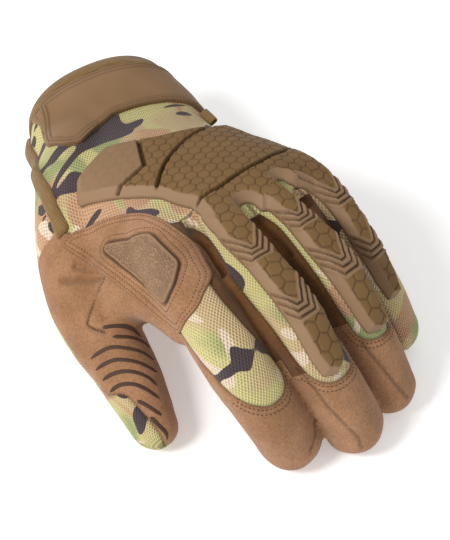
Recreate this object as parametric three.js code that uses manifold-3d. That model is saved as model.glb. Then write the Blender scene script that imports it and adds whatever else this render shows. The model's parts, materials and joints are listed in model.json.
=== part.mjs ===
// A padded work and field glove for the left hand, lying palm down on its fingertips, thumb and cuff.
// Lengths are in millimetres. The fingers point to -Y, the thumb side is -X, and +Z is up.
import * as THREE from "three";
import Module from "manifold-3d";

const wasm = await Module();
wasm.setup();

// Driving sizes
const WALL = 1.8; // cloth and suede
const GAP = 0.3; // clearance between neighbouring pieces
const OVERLAY = 1.4; // suede patch, webbing and strap cloth laid over the shell
const BORDER = 2.4; // low border of the rubber mouldings
const RAISED = 4; // plates of the knuckle guard
const PATCH = 2.2; // rubber patches
const FLOOR = 1.4; // height that the cloth is flattened to where it rests
const BINDING = 0.045; // length of the cuff's binding, as a part of the hand's table
const SHIFT = new THREE.Vector3(8.5, 60.3, -FLOOR); // brings the origin to the bottom centre of the whole

// Facets round a section, and stations along a digit and along the hand, outside and inside
const OUTSIDE = { digitSides: 10, digitSteps: 8, handSides: 16, handSteps: 7 };
const INSIDE = { digitSides: 7, digitSteps: 8, handSides: 10, handSteps: 7 };
const SQUARENESS = 2.25; // exponent of the superellipse sections
const TIP_ANGLES = [30, 62]; // stations of a round fingertip
const HOLLOW_END = 0.955; // where the hand's hollow ends along its table, a wall short of the end
const FAN = 4; // facets of a wedge round a digit
const WEDGE_ROOM = 1.06; // how far a wedge reaches past the widest radius
const LENGTH = 130; // typical length of a digit's centre line
const TIP_ROOM = 16; // how far a wedge runs on past the last joint
const CLOSE = 0.04; // points nearer than this are one point
const APART = 0.01; // least distance between two stations, along a table
const DEGREE = Math.PI / 180;
const UP = new THREE.Vector3(0, 0, 1);

const rows = (columns, table) =>
  table.map((row) => Object.fromEntries(columns.split(" ").map((name, i) => [name, row[i]])));

// Sections of the hand, from the cuff's rim to the webs. up and down are the depths above and below
// the centre, arch is how far the sides drop below the middle, and roll lifts the +X side, in degrees.
const HAND = rows("x y z wide up down arch roll", [
  [13, 51, 29.5, 36, 29, 27, 0, 11],
  [6.5, 26, 31, 42.5, 27, 28, 0, 8],
  [2, 0, 35, 43, 26, 27, 0, 2],
  [-0.5, -24, 43, 45.5, 25, 25, 2, 0],
  [2, -50, 53, 48, 22, 21, 4, 0],
  [5, -78, 62, 49, 19, 18, 6, 0],
  [7, -98, 62, 46, 14, 14, 8, 0],
  [8, -106, 60, 41, 9, 9, 8, 0],
]);

// Joints of each digit, from inside the palm to the centre of the round tip. back is the direction
// that the digit's back faces, before it bends.
const DIGITS = {
  index: {
    back: [-0.24, 0, 0.97],
    joints: rows("x y z wide thick", [
      [-22, -50, 56, 15, 15],
      [-30.5, -84, 63, 14.6, 16],
      [-38, -127, 57, 14, 16],
      [-33, -150, 36, 13.8, 14],
      [-26, -160, 14.5, 13.8, 13.5],
    ]),
  },
  middle: {
    back: [0, 0, 1],
    joints: rows("x y z wide thick", [
      [-5, -50, 58, 15, 14],
      [-8.5, -85, 68.5, 14.2, 14.5],
      [-9.6, -135, 58.5, 13.7, 14],
      [-4, -160, 35.5, 13.4, 13.4],
      [2, -170, 14, 13.5, 13],
    ]),
  },
  ring: {
    back: [0.14, 0, 0.99],
    joints: rows("x y z wide thick", [
      [12, -48, 56, 14, 13],
      [16.5, -80, 66, 14.5, 14],
      [21, -126, 57.5, 14.2, 13.8],
      [24.3, -150, 35, 12.8, 12.8],
      [28, -163, 13, 12.4, 12],
    ]),
  },
  pinky: {
    back: [0.3, 0, 0.95],
    joints: rows("x y z wide thick", [
      [27, -46, 50, 14, 13],
      [40, -75, 59, 14, 13.5],
      [46, -105, 49.5, 12.4, 12.5],
      [49.5, -126, 30, 11.9, 12],
      [52, -138.5, 12, 11.6, 11.5],
    ]),
  },
  thumb: {
    back: [-0.78, 0, -0.62],
    joints: rows("x y z wide thick", [
      [-8, 32, 30, 23, 23],
      [-17, 8, 30, 31, 26],
      [-33, -11, 28, 26.5, 24.5],
      [-50, -34, 24, 22, 21],
      [-60, -56, 20, 18, 17.5],
      [-64.3, -88, 17, 14.8, 14.5],
      [-69.5, -118.5, 12.5, 10.8, 10.3],
    ]),
  },
  saddle: {
    back: [-0.6, 0, 0.8],
    joints: rows("x y z wide thick", [
      [-18, -42, 44, 25, 19],
      [-38, -64, 41, 25, 17],
      [-43.5, -84, 46.5, 10, 10],
      [-43, -106, 53, 9, 8],
    ]),
  },
};

// Where each camouflage back panel lies on its digit: from and to are places along the joints table
// and left and right are the edges in degrees from the back. cap tells if a suede fingertip follows.
const BACKS = {
  index: { from: 0.34, to: 0.7, left: -60, right: 42, cap: true },
  middle: { from: 0.32, to: 0.675, left: -56, right: 40, cap: true },
  ring: { from: 0.32, to: 0.7, left: -56, right: 46, cap: true },
  pinky: { from: 0.34, to: 1, left: -58, right: 80, cap: false },
  thumb: { from: 0.5, to: 1, left: -60, right: 56, cap: false },
};

// Forked strips between fingers: the finger on each side, and the middle of the web, in the top view.
const FORKS = {
  index_middle_fourchette: { left: "index", right: "middle", web: [-22, -110] },
  middle_ring_fourchette: { left: "middle", right: "ring", web: [6, -109] },
  ring_pinky_fourchette: { left: "ring", right: "pinky", web: [34, -104] },
};
const FORK_ANGLE = 116; // how far round a finger its side strip runs, in degrees from the back
const PINKY_STRIP_END = 0.9;
const FORK_START = 0.31; // where the side strips begin along the joints tables
const WEB = [7, 14]; // half the width and length of the web's piece
const WEB_LOW = 49; // height of its lower edge

// Where the front panel of each digit begins, along its joints table
const FRONTS = { index: 0.37, middle: 0.35, ring: 0.35, pinky: 0.36, thumb: 0.5 };

// Arms of the knuckle guard: the middle of the arm and half its width, in degrees from the back.
const ARMS = {
  middle: rows("t mid half", [
    [0.24, 0, 30],
    [0.31, 0, 33],
    [0.45, 10, 33],
    [0.56, 0, 32],
    [0.67, -14, 23],
  ]),
  ring: rows("t mid half", [
    [0.24, -6, 28],
    [0.36, -6, 25],
    [0.46, -5, 34],
    [0.57, -12, 30],
    [0.69, -12, 24],
  ]),
  pinky: rows("t mid half", [
    [0.22, -10, 38],
    [0.38, -6, 29],
    [0.53, -20, 28],
    [0.68, -25, 25],
    [0.78, -28, 17],
  ]),
};

// Views that outlines are drawn in: across and up span the drawing, and away points to the viewer.
// Depths between which outlines cut, along away
const THROUGH = [-50, 300];
const TOP_SIDE = [20, 200];
const STRAP_SIDE = [30, 200];
const PATCH_SIDE = [38, 200];
const SADDLE_SIDE = [57, 120];
const WEB_TOP = 70;
const TOP_VIEW = view([1, 0, 0], [0, 1, 0], [0, 0, 1]);
const SADDLE_VIEW = view([0.8, 0, 0.6], [0, 1, 0], [-0.6, 0, 0.8]);
const SLIT_VIEW = view([0.707, 0, 0.707], [0, 1, 0], [-0.707, 0, 0.707]);

function view(across, up, away) {
  const [right, top, out] = [across, up, away].map((way) => new THREE.Vector3(...way));
  return { across: right, up: top, away: out };
}

// Outlines, in the top view unless named otherwise
const HAND_BACK = [
  [-25, 70], [-48, 3], [-54, -24], [-43, -60], [-34, -100], [-24, -116], [70, -116], [70, 70],
];
const CUFF_END = [[-90, -16], [-50, -22], [60, -14], [90, -14], [90, 80], [-90, 80]];
const GUARD = [
  [-36, -8], [-16, -3], [5, -17], [30, -25], [37, -25], [42, -39], [50, -57], [54, -74], [54, -86],
  [39, -88], [26, -80], [20, -90], [8, -92], [1, -83], [-4, -92], [-16, -90], [-15, -74], [-20, -55],
  [-31, -37], [-43, -20],
];
const ARM_INSET = 7; // degrees from an arm's edge to its raised top
const END_PER_DEGREE = 0.002; // how much shorter the raised top is, along the table, for each degree
const GUARD_PLATES = [
  [[-34.5, -10], [-17, -6], [-7, -14], [-15, -31.5], [-29, -33], [-40, -20]],
  [[-3, -17], [5, -19.5], [25, -27], [-18, -48.5], [-28, -37.5], [-12, -36]],
  [
    [31, -28], [35.5, -28], [39, -40], [46, -56], [44, -62], [24, -66], [5, -68.5], [-12.5, -72],
    [-16.5, -54],
  ],
  [
    [45.5, -66], [50.5, -76], [50.5, -84], [40, -84.5], [27, -77], [22, -79], [18, -86], [10, -88], [3, -81],
    [-2, -82], [-6, -88], [-13.5, -86], [-12.5, -76], [6, -73], [25, -70.5],
  ],
];
const STRAP = [[-22, 70], [-28.5, 33], [-24, 13], [-5, 12], [18, 12], [43, 6], [90, 4], [90, 70]];
const STRAP_PATCH = [
  [-21, 47], [-26.5, 33], [-22, 15], [-5, 14.5], [18, 14.5], [43, 9], [46, 11], [44, 34], [20, 38.5],
];
// in the saddle view
const SADDLE = [
  [-21, -27], [-10, -28], [1, -36], [12, -46], [21, -59], [25, -72], [27, -85], [22, -104], [10, -110],
  [-4, -108], [-9, -90], [-11, -79], [-13, -66], [-16, -51],
];
const PAD = [[-8, -48], [-3, -47], [14, -68], [18, -93], [1, -100]];
// in the slit view
const SLIT = [[-5, 54], [2.5, 54], [3, 2], [0, -13], [-2, -25], [-10, -25.5], [-7, -13], [-5, 2]];

// A closed mesh through rings of points, all with the same count, capped by fans from their first.
function loft(rings) {
  const sides = rings[0].length;
  const position = [];
  const index = [];
  rings.forEach((ring) => ring.forEach((p) => position.push(p.x, p.y, p.z)));
  for (let i = 0; i + 1 < rings.length; i += 1) {
    for (let j = 0; j < sides; j += 1) {
      const a = i * sides + j;
      const b = i * sides + ((j + 1) % sides);
      index.push(a, b, a + sides, b, b + sides, a + sides);
    }
  }
  const last = (rings.length - 1) * sides;
  for (let j = 1; j + 1 < sides; j += 1) {
    index.push(0, j + 1, j, last, last + j, last + j + 1);
  }
  const geometry = new THREE.BufferGeometry();
  geometry.setAttribute("position", new THREE.Float32BufferAttribute(position, 3));
  geometry.setIndex(index);
  return solid(geometry);
}

// A geometry as a solid that can be joined and cut, with its faces turned outwards.
function solid(geometry) {
  const made = new wasm.Manifold(
    new wasm.Mesh({
      numProp: 3,
      vertProperties: new Float32Array(geometry.attributes.position.array),
      triVerts: new Uint32Array(geometry.index.array),
    }),
  );
  if (made.volume() > 0) return made;
  const flipped = Array.from(geometry.index.array).reverse();
  return solid(geometry.clone().setIndex(flipped));
}

// Smooth interpolation of every column of a table at t from 0 to 1.
function blend(table, t) {
  const names = Object.keys(table[0]);
  const along = t * (table.length - 1);
  const i = Math.min(Math.floor(along), table.length - 2);
  const f = along - i;
  const at = (k) => table[Math.max(0, Math.min(table.length - 1, k))];
  const out = {};
  names.forEach((name) => {
    const [p0, p1, p2, p3] = [at(i - 1)[name], at(i)[name], at(i + 1)[name], at(i + 2)[name]];
    const bow = (2 * p0 - 5 * p1 + 4 * p2 - p3) * f ** 2 + (3 * p1 - p0 - 3 * p2 + p3) * f ** 3;
    out[name] = (2 * p1 + (p2 - p0) * f + bow) / 2;
  });
  return out;
}

const point = (row) => new THREE.Vector3(row.x, row.y, row.z);

// Frame of a table's centre line at t: the way along, the side and the back direction.
function frame(table, t, back) {
  const step = 0.01;
  const ahead = point(blend(table, Math.min(1, t + step)));
  const behind = point(blend(table, Math.max(0, t - step)));
  const along = ahead.sub(behind).normalize();
  const side = new THREE.Vector3().crossVectors(back, along).normalize();
  return { along, side, back: new THREE.Vector3().crossVectors(along, side).normalize() };
}

const power = (value, exponent) => Math.sign(value) * Math.abs(value) ** exponent;

// One ring of a superellipse, wide by thick, about a centre.
function ellipse(centre, axes, wide, thick, sides) {
  return Array.from({ length: sides }, (_, k) => {
    const angle = (2 * Math.PI * k) / sides;
    const u = wide * power(Math.cos(angle), 2 / SQUARENESS);
    const v = thick * power(Math.sin(angle), 2 / SQUARENESS);
    return centre.clone().addScaledVector(axes.side, u).addScaledVector(axes.back, v);
  });
}

// A closed mesh of an outline drawn in the plane of across and up, between two depths along away.
function prism(outline, depths, plane = TOP_VIEW) {
  const flat = outline.map(([u, v]) => new THREE.Vector2(u, v));
  const position = [];
  depths.forEach((depth) => {
    flat.forEach(({ x, y }) => {
      const p = plane.across.clone().multiplyScalar(x);
      p.addScaledVector(plane.up, y).addScaledVector(plane.away, depth);
      position.push(p.x, p.y, p.z);
    });
  });
  const count = flat.length;
  const index = [];
  THREE.ShapeUtils.triangulateShape(flat, []).forEach(([a, b, c]) => {
    index.push(a, c, b, a + count, b + count, c + count);
  });
  const wound = THREE.ShapeUtils.isClockWise(flat) ? -1 : 1;
  for (let i = 0; i < count; i += 1) {
    const j = (i + 1) % count;
    if (wound > 0) index.push(i, j, i + count, j, j + count, i + count);
    else index.push(i, i + count, j, j, i + count, j + count);
  }
  const geometry = new THREE.BufferGeometry();
  geometry.setAttribute("position", new THREE.Float32BufferAttribute(position, 3));
  geometry.setIndex(index);
  return solid(geometry);
}

// Both ends of a stretch and the even stations between them.
function stationsBetween(from, to, steps) {
  const even = Array.from({ length: steps + 1 }, (_, i) => i / steps);
  return [from, ...even.filter((t) => t > from + APART && t < to - APART), to];
}

// A digit as a closed solid, grown by offset.
function digitSolid(digit, offset, detail = OUTSIDE, from = 0) {
  const back = new THREE.Vector3(...digit.back);
  const rings = stationsBetween(from, 1, detail.digitSteps).map((t) => {
    const row = blend(digit.joints, t);
    const axes = frame(digit.joints, t, back);
    return ellipse(point(row), axes, row.wide + offset, row.thick + offset, detail.digitSides);
  });
  const tip = blend(digit.joints, 1);
  const axes = frame(digit.joints, 1, back);
  TIP_ANGLES.forEach((degrees) => {
    const angle = THREE.MathUtils.degToRad(degrees);
    const centre = point(tip).addScaledVector(axes.along, (tip.thick + offset) * Math.sin(angle));
    const [wide, thick] = [tip.wide, tip.thick].map((size) => (size + offset) * Math.cos(angle));
    rings.push(ellipse(centre, axes, wide, thick, detail.digitSides));
  });
  return loft(rings);
}

// The ring of the hand at t, grown by offset.
function handRing(t, offset, sides) {
  const row = blend(HAND, t);
  const axes = frame(HAND, t, UP);
  return Array.from({ length: sides }, (_, k) => {
    const angle = (2 * Math.PI * k) / sides;
    const u = power(Math.cos(angle), 2 / SQUARENESS);
    const v = power(Math.sin(angle), 2 / SQUARENESS);
    const depth = (v > 0 ? row.up : row.down) + offset;
    const out = new THREE.Vector2((row.wide + offset) * u, depth * v - row.arch * u * u);
    out.rotateAround(new THREE.Vector2(), row.roll * DEGREE);
    return point(row).addScaledVector(axes.side, out.x).addScaledVector(axes.back, out.y);
  });
}

// The hand between two places of its table, grown by offset, and longer by before at the cuff.
function handSolid(offset, { detail = OUTSIDE, before = 0, from = 0, to = 1 } = {}) {
  const rings = stationsBetween(from, to, detail.handSteps).map((t) => handRing(t, offset, detail.handSides));
  if (before > 0) {
    const { along } = frame(HAND, 0, UP);
    rings.unshift(handRing(0, offset, detail.handSides).map((p) => p.addScaledVector(along, -before)));
  }
  return loft(rings);
}

function gloveSolid(offset, detail = OUTSIDE, before = 0) {
  const hand = handSolid(offset, { detail, before, to: offset < 0 ? HOLLOW_END : 1 });
  return Object.values(DIGITS).reduce((made, digit) => made.add(digitSolid(digit, offset, detail)), hand);
}

// A wedge round a digit's centre line, between two angles from its back, out past its surface.
function sector(digit, { from, to, angles, reach = 1, beyond = 0 }) {
  const back = new THREE.Vector3(...digit.back);
  const ringAt = (t, on) => {
    const row = blend(digit.joints, t);
    const axes = frame(digit.joints, t, back);
    const hub = point(row).addScaledVector(axes.along, on);
    const [left, right] = angles(t);
    const facet = ((right - left) / FAN) * DEGREE;
    const radius = (Math.max(row.wide, row.thick) * WEDGE_ROOM + reach) / Math.cos(facet / 2);
    const rim = Array.from({ length: FAN + 1 }, (_, k) => {
      const angle = (left + ((right - left) * k) / FAN) * DEGREE;
      return hub
        .clone()
        .addScaledVector(axes.side, radius * Math.sin(angle))
        .addScaledVector(axes.back, radius * Math.cos(angle));
    });
    return [hub, ...rim];
  };
  const rings = stationsBetween(from, to, OUTSIDE.digitSteps).map((t) => ringAt(t, 0));
  if (beyond > 0) rings.push(ringAt(to, beyond));
  return loft(rings);
}

// The region of a back panel, grown by extra millimetres at its edges.
function backRegion(name, extra) {
  const digit = DIGITS[name];
  const panel = BACKS[name];
  const turn = (t) => extra / blend(digit.joints, t).thick / DEGREE;
  const along = extra / LENGTH;
  const region = sector(digit, {
    from: panel.from - along,
    to: panel.cap ? panel.to + along : 1,
    angles: (t) => [panel.left - turn(t), panel.right + turn(t)],
    beyond: panel.cap ? 0 : TIP_ROOM,
  });
  return region.intersect(digitSolid(digit, 1 + extra));
}

// The region of a forked strip: the facing sides of two fingers and the web that joins them.
function forkRegion(name, extra) {
  const { left, right, web } = FORKS[name];
  const side = (finger, first, last) => {
    const turn = (t) => extra / blend(DIGITS[finger].joints, t).thick / DEGREE;
    return sector(DIGITS[finger], {
      from: FORK_START - extra / LENGTH,
      to: BACKS[finger].cap ? BACKS[finger].to : PINKY_STRIP_END,
      angles: (t) => [first - turn(t), last + turn(t)],
    }).intersect(digitSolid(DIGITS[finger], 1 + extra));
  };
  const [wide, long] = WEB.map((size) => size + extra);
  const [x, y] = web;
  const corner = [[x - wide, y - long], [x + wide, y - long], [x + wide, y + long], [x - wide, y + long]];
  return side(left, BACKS[left].right, FORK_ANGLE)
    .add(side(right, -FORK_ANGLE, BACKS[right].left))
    .add(prism(corner, [WEB_LOW - extra, WEB_TOP]));
}

// The region of a digit beyond t, grown by extra.
const tipRegion = (name, t, extra) =>
  digitSolid(DIGITS[name], 1 + extra, OUTSIDE, t - extra / LENGTH);

// Linear interpolation of a table with a column t.
function lerp(table, t) {
  const next = table.findIndex((row) => row.t >= t);
  if (next === 0) return table[0];
  if (next < 0) return table[table.length - 1];
  const [a, b] = [table[next - 1], table[next]];
  const f = (t - a.t) / (b.t - a.t);
  return { mid: a.mid + (b.mid - a.mid) * f, half: a.half + (b.half - a.half) * f };
}

// One arm of the guard, from the shell out to offset, narrower by inset degrees on each side.
function arm(name, offset, inset) {
  const table = ARMS[name];
  const angles = (t) => {
    const { mid, half } = lerp(table, t);
    return [mid - half + inset, mid + half - inset];
  };
  const to = table[table.length - 1].t - inset * END_PER_DEGREE;
  const wedge = sector(DIGITS[name], { from: table[0].t, to, angles, reach: offset + 2 });
  return digitSolid(DIGITS[name], offset).intersect(wedge);
}

// Points and triangles of a cut solid, with points that lie closer than CLOSE joined into one.
function joinedPoints(made) {
  const { vertProperties, triVerts } = made.getMesh();
  const points = [];
  const place = [];
  for (let i = 0; i < vertProperties.length; i += 3) {
    const p = new THREE.Vector3().fromArray(vertProperties, i);
    const near = points.findIndex((q) => q.distanceTo(p) < CLOSE);
    place.push(near < 0 ? points.push(p) - 1 : near);
  }
  const triangles = [];
  for (let i = 0; i < triVerts.length; i += 3) {
    const corners = [0, 1, 2].map((k) => place[triVerts[i + k]]);
    if (new Set(corners).size === 3) triangles.push(corners);
  }
  return { points, triangles };
}

// Turns the long edge of each needle-thin triangle, so that its flat corner gets edges of its own.
function withoutNeedles({ points, triangles }) {
  const length = (a, b) => points[a].distanceTo(points[b]);
  triangles.forEach((needle, place) => {
    const turns = [0, 1, 2].map((k) => [needle[k], needle[(k + 1) % 3], needle[(k + 2) % 3]]);
    const [a, b, c] = turns.reduce((x, y) => (length(y[0], y[1]) > length(x[0], x[1]) ? y : x));
    const area = new THREE.Triangle(points[a], points[b], points[c]).getArea();
    if ((2 * area) / length(a, b) > CLOSE / 2) return;
    const other = triangles.findIndex((t) => t.some((v, k) => v === b && t[(k + 1) % 3] === a));
    const d = triangles[other].find((v) => v !== a && v !== b);
    const known = triangles.some((t) => t.includes(c) && t.includes(d));
    if (known) return;
    triangles[place] = [a, d, c];
    triangles[other] = [d, b, c];
  });
  return { points, triangles };
}

function meshOf(name, made, look) {
  const { points, triangles } = withoutNeedles(joinedPoints(made));
  const geometry = new THREE.BufferGeometry().setFromPoints(points);
  geometry.setIndex(triangles.flat());
  const { colour, roughness } = look;
  const material = new THREE.MeshStandardMaterial({ color: colour, roughness, metalness: 0 });
  material.name = look.name;
  const mesh = new THREE.Mesh(geometry, material);
  mesh.name = name;
  return mesh;
}

// Cutting can leave a sliver behind: only the largest body is the piece.
const largest = (made) => made.decompose().reduce((a, b) => (b.volume() > a.volume() ? b : a));

const CAMO = { name: "camouflage cloth", colour: 0xa99a78, roughness: 0.9 };
const SUEDE = { name: "brown suede", colour: 0x9a6f4a, roughness: 0.95 };
const RUBBER = { name: "brown rubber", colour: 0x75603f, roughness: 0.6 };
const WEBBING = { name: "brown webbing", colour: 0x7a5a2c, roughness: 0.85 };

// The shell of cloth and suede, open at the cuff and flattened where it rests
const FAR = 300; // past everything
const MOUTH = 5; // how far the hollow runs out through the cuff
const above = prism([[-FAR, -FAR], [FAR, -FAR], [FAR, FAR], [-FAR, FAR]], [FLOOR, FAR]);
const outer = gloveSolid(0).intersect(above);
const shell = outer.subtract(gloveSolid(-WALL, INSIDE, MOUTH));

// Everything above the side seams of the hand, less extra millimetres
const HALF_SIDES = 28;
const HALF_REACH = 12;
const HALF_BEYOND = 20;
function half(extra) {
  const sections = [0, 0.25, 0.5, 0.75, 1].map((t) => {
    const last = HALF_SIDES / 2;
    const ring = handRing(t, HALF_REACH, HALF_SIDES).slice(0, last + 1);
    const lift = blend(HAND, t).arch - extra;
    const { back } = frame(HAND, t, UP);
    return ring.map((p, k) => (k % last === 0 ? p.addScaledVector(back, lift) : p));
  });
  const moved = (ring, t, on) => ring.map((p) => p.clone().addScaledVector(frame(HAND, t, UP).along, on));
  const first = moved(sections[0], 0, -HALF_BEYOND);
  const last = moved(sections[sections.length - 1], 1, HALF_BEYOND);
  return loft([first, ...sections, last]);
}

// An outline with its corners moved out from its middle.
function grown(outline, extra) {
  const mean = (k) => outline.reduce((sum, corner) => sum + corner[k], 0) / outline.length;
  const [x, y] = [mean(0), mean(1)];
  return outline.map(([u, v]) => {
    const share = (extra * Math.SQRT2) / Math.hypot(u - x, v - y);
    return [u + (u - x) * share, v + (v - y) * share];
  });
}

const handBack = (extra) => half(extra).intersect(prism(grown(HAND_BACK, extra), THROUGH));
const cuffEnd = (extra) => prism(grown(CUFF_END, extra), THROUGH);

// Panels, each cut out of what the panels before it leave, with the gap between them
const pieces = [];
let rest = shell;
function cut(name, region, look) {
  pieces.push([name, largest(rest.intersect(region(0))), look]);
  rest = rest.subtract(region(GAP));
}
Object.keys(BACKS).forEach((name) => {
  const capStart = BACKS[name].to + (2 * GAP) / LENGTH;
  if (BACKS[name].cap) cut(`${name}_cap`, (extra) => tipRegion(name, capStart, extra), SUEDE);
  cut(`${name}_back`, (extra) => backRegion(name, extra), CAMO);
});
cut("hand_back", handBack, CAMO);
Object.keys(FORKS).forEach((name) => cut(name, (extra) => forkRegion(name, extra), SUEDE));
Object.entries(FRONTS).forEach(([name, start]) => {
  cut(`${name}_front`, (extra) => tipRegion(name, start, extra), SUEDE);
});
cut("cuff_under", cuffEnd, CAMO);
pieces.push(["palm", largest(rest), SUEDE]);

// Layers over the shell, between two offsets and inside an outline
const clear = gloveSolid(GAP);
const layer = (low, high) => gloveSolid(high).subtract(low === GAP ? clear : gloveSolid(low));
const clothTop = GAP + OVERLAY;
const patchLow = clothTop + GAP;
const patchTop = patchLow + PATCH;

// Suede patch over the web, with its rubber pad
const saddlePatch = layer(GAP, clothTop).intersect(prism(SADDLE, SADDLE_SIDE, SADDLE_VIEW));
pieces.push(["saddle_patch", largest(saddlePatch), SUEDE]);
const saddlePad = layer(patchLow, patchTop).intersect(prism(PAD, SADDLE_SIDE, SADDLE_VIEW));
pieces.push(["saddle_pad", largest(saddlePad), RUBBER]);

// Knuckle guard, one moulding: a low border with raised plates, and an arm along three fingers
const together = (solids) => solids.reduce((a, b) => a.add(b));
const border = gloveSolid(BORDER).intersect(prism(GUARD, TOP_SIDE)).intersect(half(0));
const plateTops = together(GUARD_PLATES.map((outline) => prism(outline, TOP_SIDE)));
const plates = gloveSolid(RAISED).intersect(plateTops).intersect(half(0));
const arms = Object.keys(ARMS).map((name) => arm(name, BORDER, 0).add(arm(name, RAISED, ARM_INSET)));
const guard = together([border, plates, ...arms]);
pieces.push(["knuckle_guard", largest(guard.subtract(clear)), RUBBER]);

// Binding folded over the cuff's rim
const PAST = 0.05; // how much further the slot in the binding runs than the binding, along the table
const bindingOuter = handSolid(clothTop, { before: clothTop, to: BINDING });
const bindingInner = handSolid(-WALL - clothTop, { detail: INSIDE, before: MOUTH, to: BINDING + PAST });
const slotInner = handSolid(-WALL - GAP, { detail: INSIDE, before: MOUTH, to: BINDING + 2 * PAST });
const slot = handSolid(GAP, { before: GAP, to: BINDING + PAST }).subtract(slotInner);
const binding = bindingOuter.subtract(bindingInner).subtract(slot).intersect(above);
pieces.push(["cuff_binding", largest(binding), WEBBING]);

// Wrist strap with its patch, and the binding along the slit, clear of the cuff's binding
const BINDING_CLEAR = BINDING + 0.004;
const PATCH_START = BINDING + 0.01;
const STRAP_END = 0.36;
const strapBand = (low, high, from) => handSolid(high, { from, to: STRAP_END }).subtract(gloveSolid(low));
const strap = strapBand(GAP, clothTop, BINDING_CLEAR).intersect(prism(STRAP, STRAP_SIDE));
pieces.push(["wrist_strap", largest(strap), WEBBING]);
const strapPatch = strapBand(patchLow, patchTop, PATCH_START).intersect(prism(STRAP_PATCH, PATCH_SIDE));
pieces.push(["strap_patch", largest(strapPatch), RUBBER]);
const RIM_REACH = 9; // past the cuff's binding
const cuffRim = handSolid(RIM_REACH, { before: HALF_BEYOND, to: BINDING_CLEAR });
const slit = layer(GAP, clothTop).intersect(prism(SLIT, TOP_SIDE, SLIT_VIEW)).subtract(cuffRim);
pieces.push(["slit_binding", largest(slit), WEBBING]);

// Folded end of the strap's webbing, at the outer side of the wrist
const LOOP_VIEW = view([0.92, 0, 0.39], [-0.39, 0, 0.92], [0, 1, 0]);
const LOOP = [
  [0, -2], [6, -2], [7.6, -1.3], [8.2, 0], [7.6, 1.3], [6, 2], [0, 2], [0, 0.8], [6, 0.8], [6.6, 0],
  [6, -0.8], [0, -0.8],
];
const LOOP_AT = [57.55, 26.8]; // its root, in its own view
const LOOP_ENDS = [-7, 2]; // along the hand
const loopOutline = LOOP.map(([u, v]) => [u + LOOP_AT[0], v + LOOP_AT[1]]);
pieces.push(["strap_loop", prism(loopOutline, LOOP_ENDS, LOOP_VIEW), WEBBING]);

const glove = new THREE.Group();
pieces.forEach(([name, made, look]) => glove.add(meshOf(name, made, look)));
glove.position.copy(SHIFT);

export default glove;
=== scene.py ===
"""A padded field glove for the left hand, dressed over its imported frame.

Tables and outlines are in millimetres, in the drawing's own frame: the fingers point to -Y,
the thumb side is -X and +Z is up. SHIFT brings them to the frame of the part.
"""

import json
import math

import bpy
import numpy as np
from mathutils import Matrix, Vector, noise
from mathutils.bvhtree import BVHTree


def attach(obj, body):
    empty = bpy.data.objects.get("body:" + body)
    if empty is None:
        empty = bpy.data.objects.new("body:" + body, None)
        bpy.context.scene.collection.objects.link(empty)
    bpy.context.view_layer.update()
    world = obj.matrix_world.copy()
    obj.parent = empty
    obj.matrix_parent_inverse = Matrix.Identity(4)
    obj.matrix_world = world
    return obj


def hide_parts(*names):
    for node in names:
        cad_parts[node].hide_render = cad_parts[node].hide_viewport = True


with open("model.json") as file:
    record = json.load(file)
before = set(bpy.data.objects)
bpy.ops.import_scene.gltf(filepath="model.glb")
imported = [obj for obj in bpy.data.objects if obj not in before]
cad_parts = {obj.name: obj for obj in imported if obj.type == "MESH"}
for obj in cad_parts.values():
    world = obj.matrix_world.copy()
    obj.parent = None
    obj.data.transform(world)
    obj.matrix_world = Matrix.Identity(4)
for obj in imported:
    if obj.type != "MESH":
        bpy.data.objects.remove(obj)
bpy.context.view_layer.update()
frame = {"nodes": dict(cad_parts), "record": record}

MM = 0.001
SHIFT = np.array([8.5, 60.3, -1.4])
REST_HEIGHT = 1.4  # height in the drawing at which the cloth lies flat
WALL = 1.7  # cloth and suede
VOXEL = 1.05  # facets of the smooth shell
SQUARENESS = 2.25  # exponent of the sections
UP = np.array([0.0, 0.0, 1.0])

# Sections of the hand from the cuff's rim to the webs
# x, y, z, half width, height above and depth below the centre, arch of the sides, roll in degrees
HAND = [
    (13, 51, 29.5, 36, 29, 27, 0, 11),
    (6.5, 26, 31, 42.5, 27, 28, 0, 8),
    (2, 0, 35, 43, 26, 27, 0, 2),
    (-0.5, -24, 43, 45.5, 25, 25, 2, 0),
    (2, -50, 53, 48, 22, 21, 4, 0),
    (5, -78, 62, 49, 19, 18, 6, 0),
    (7, -98, 62, 46, 14, 14, 8, 0),
    (8, -106, 60, 41, 9, 9, 8, 0),
]

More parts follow.
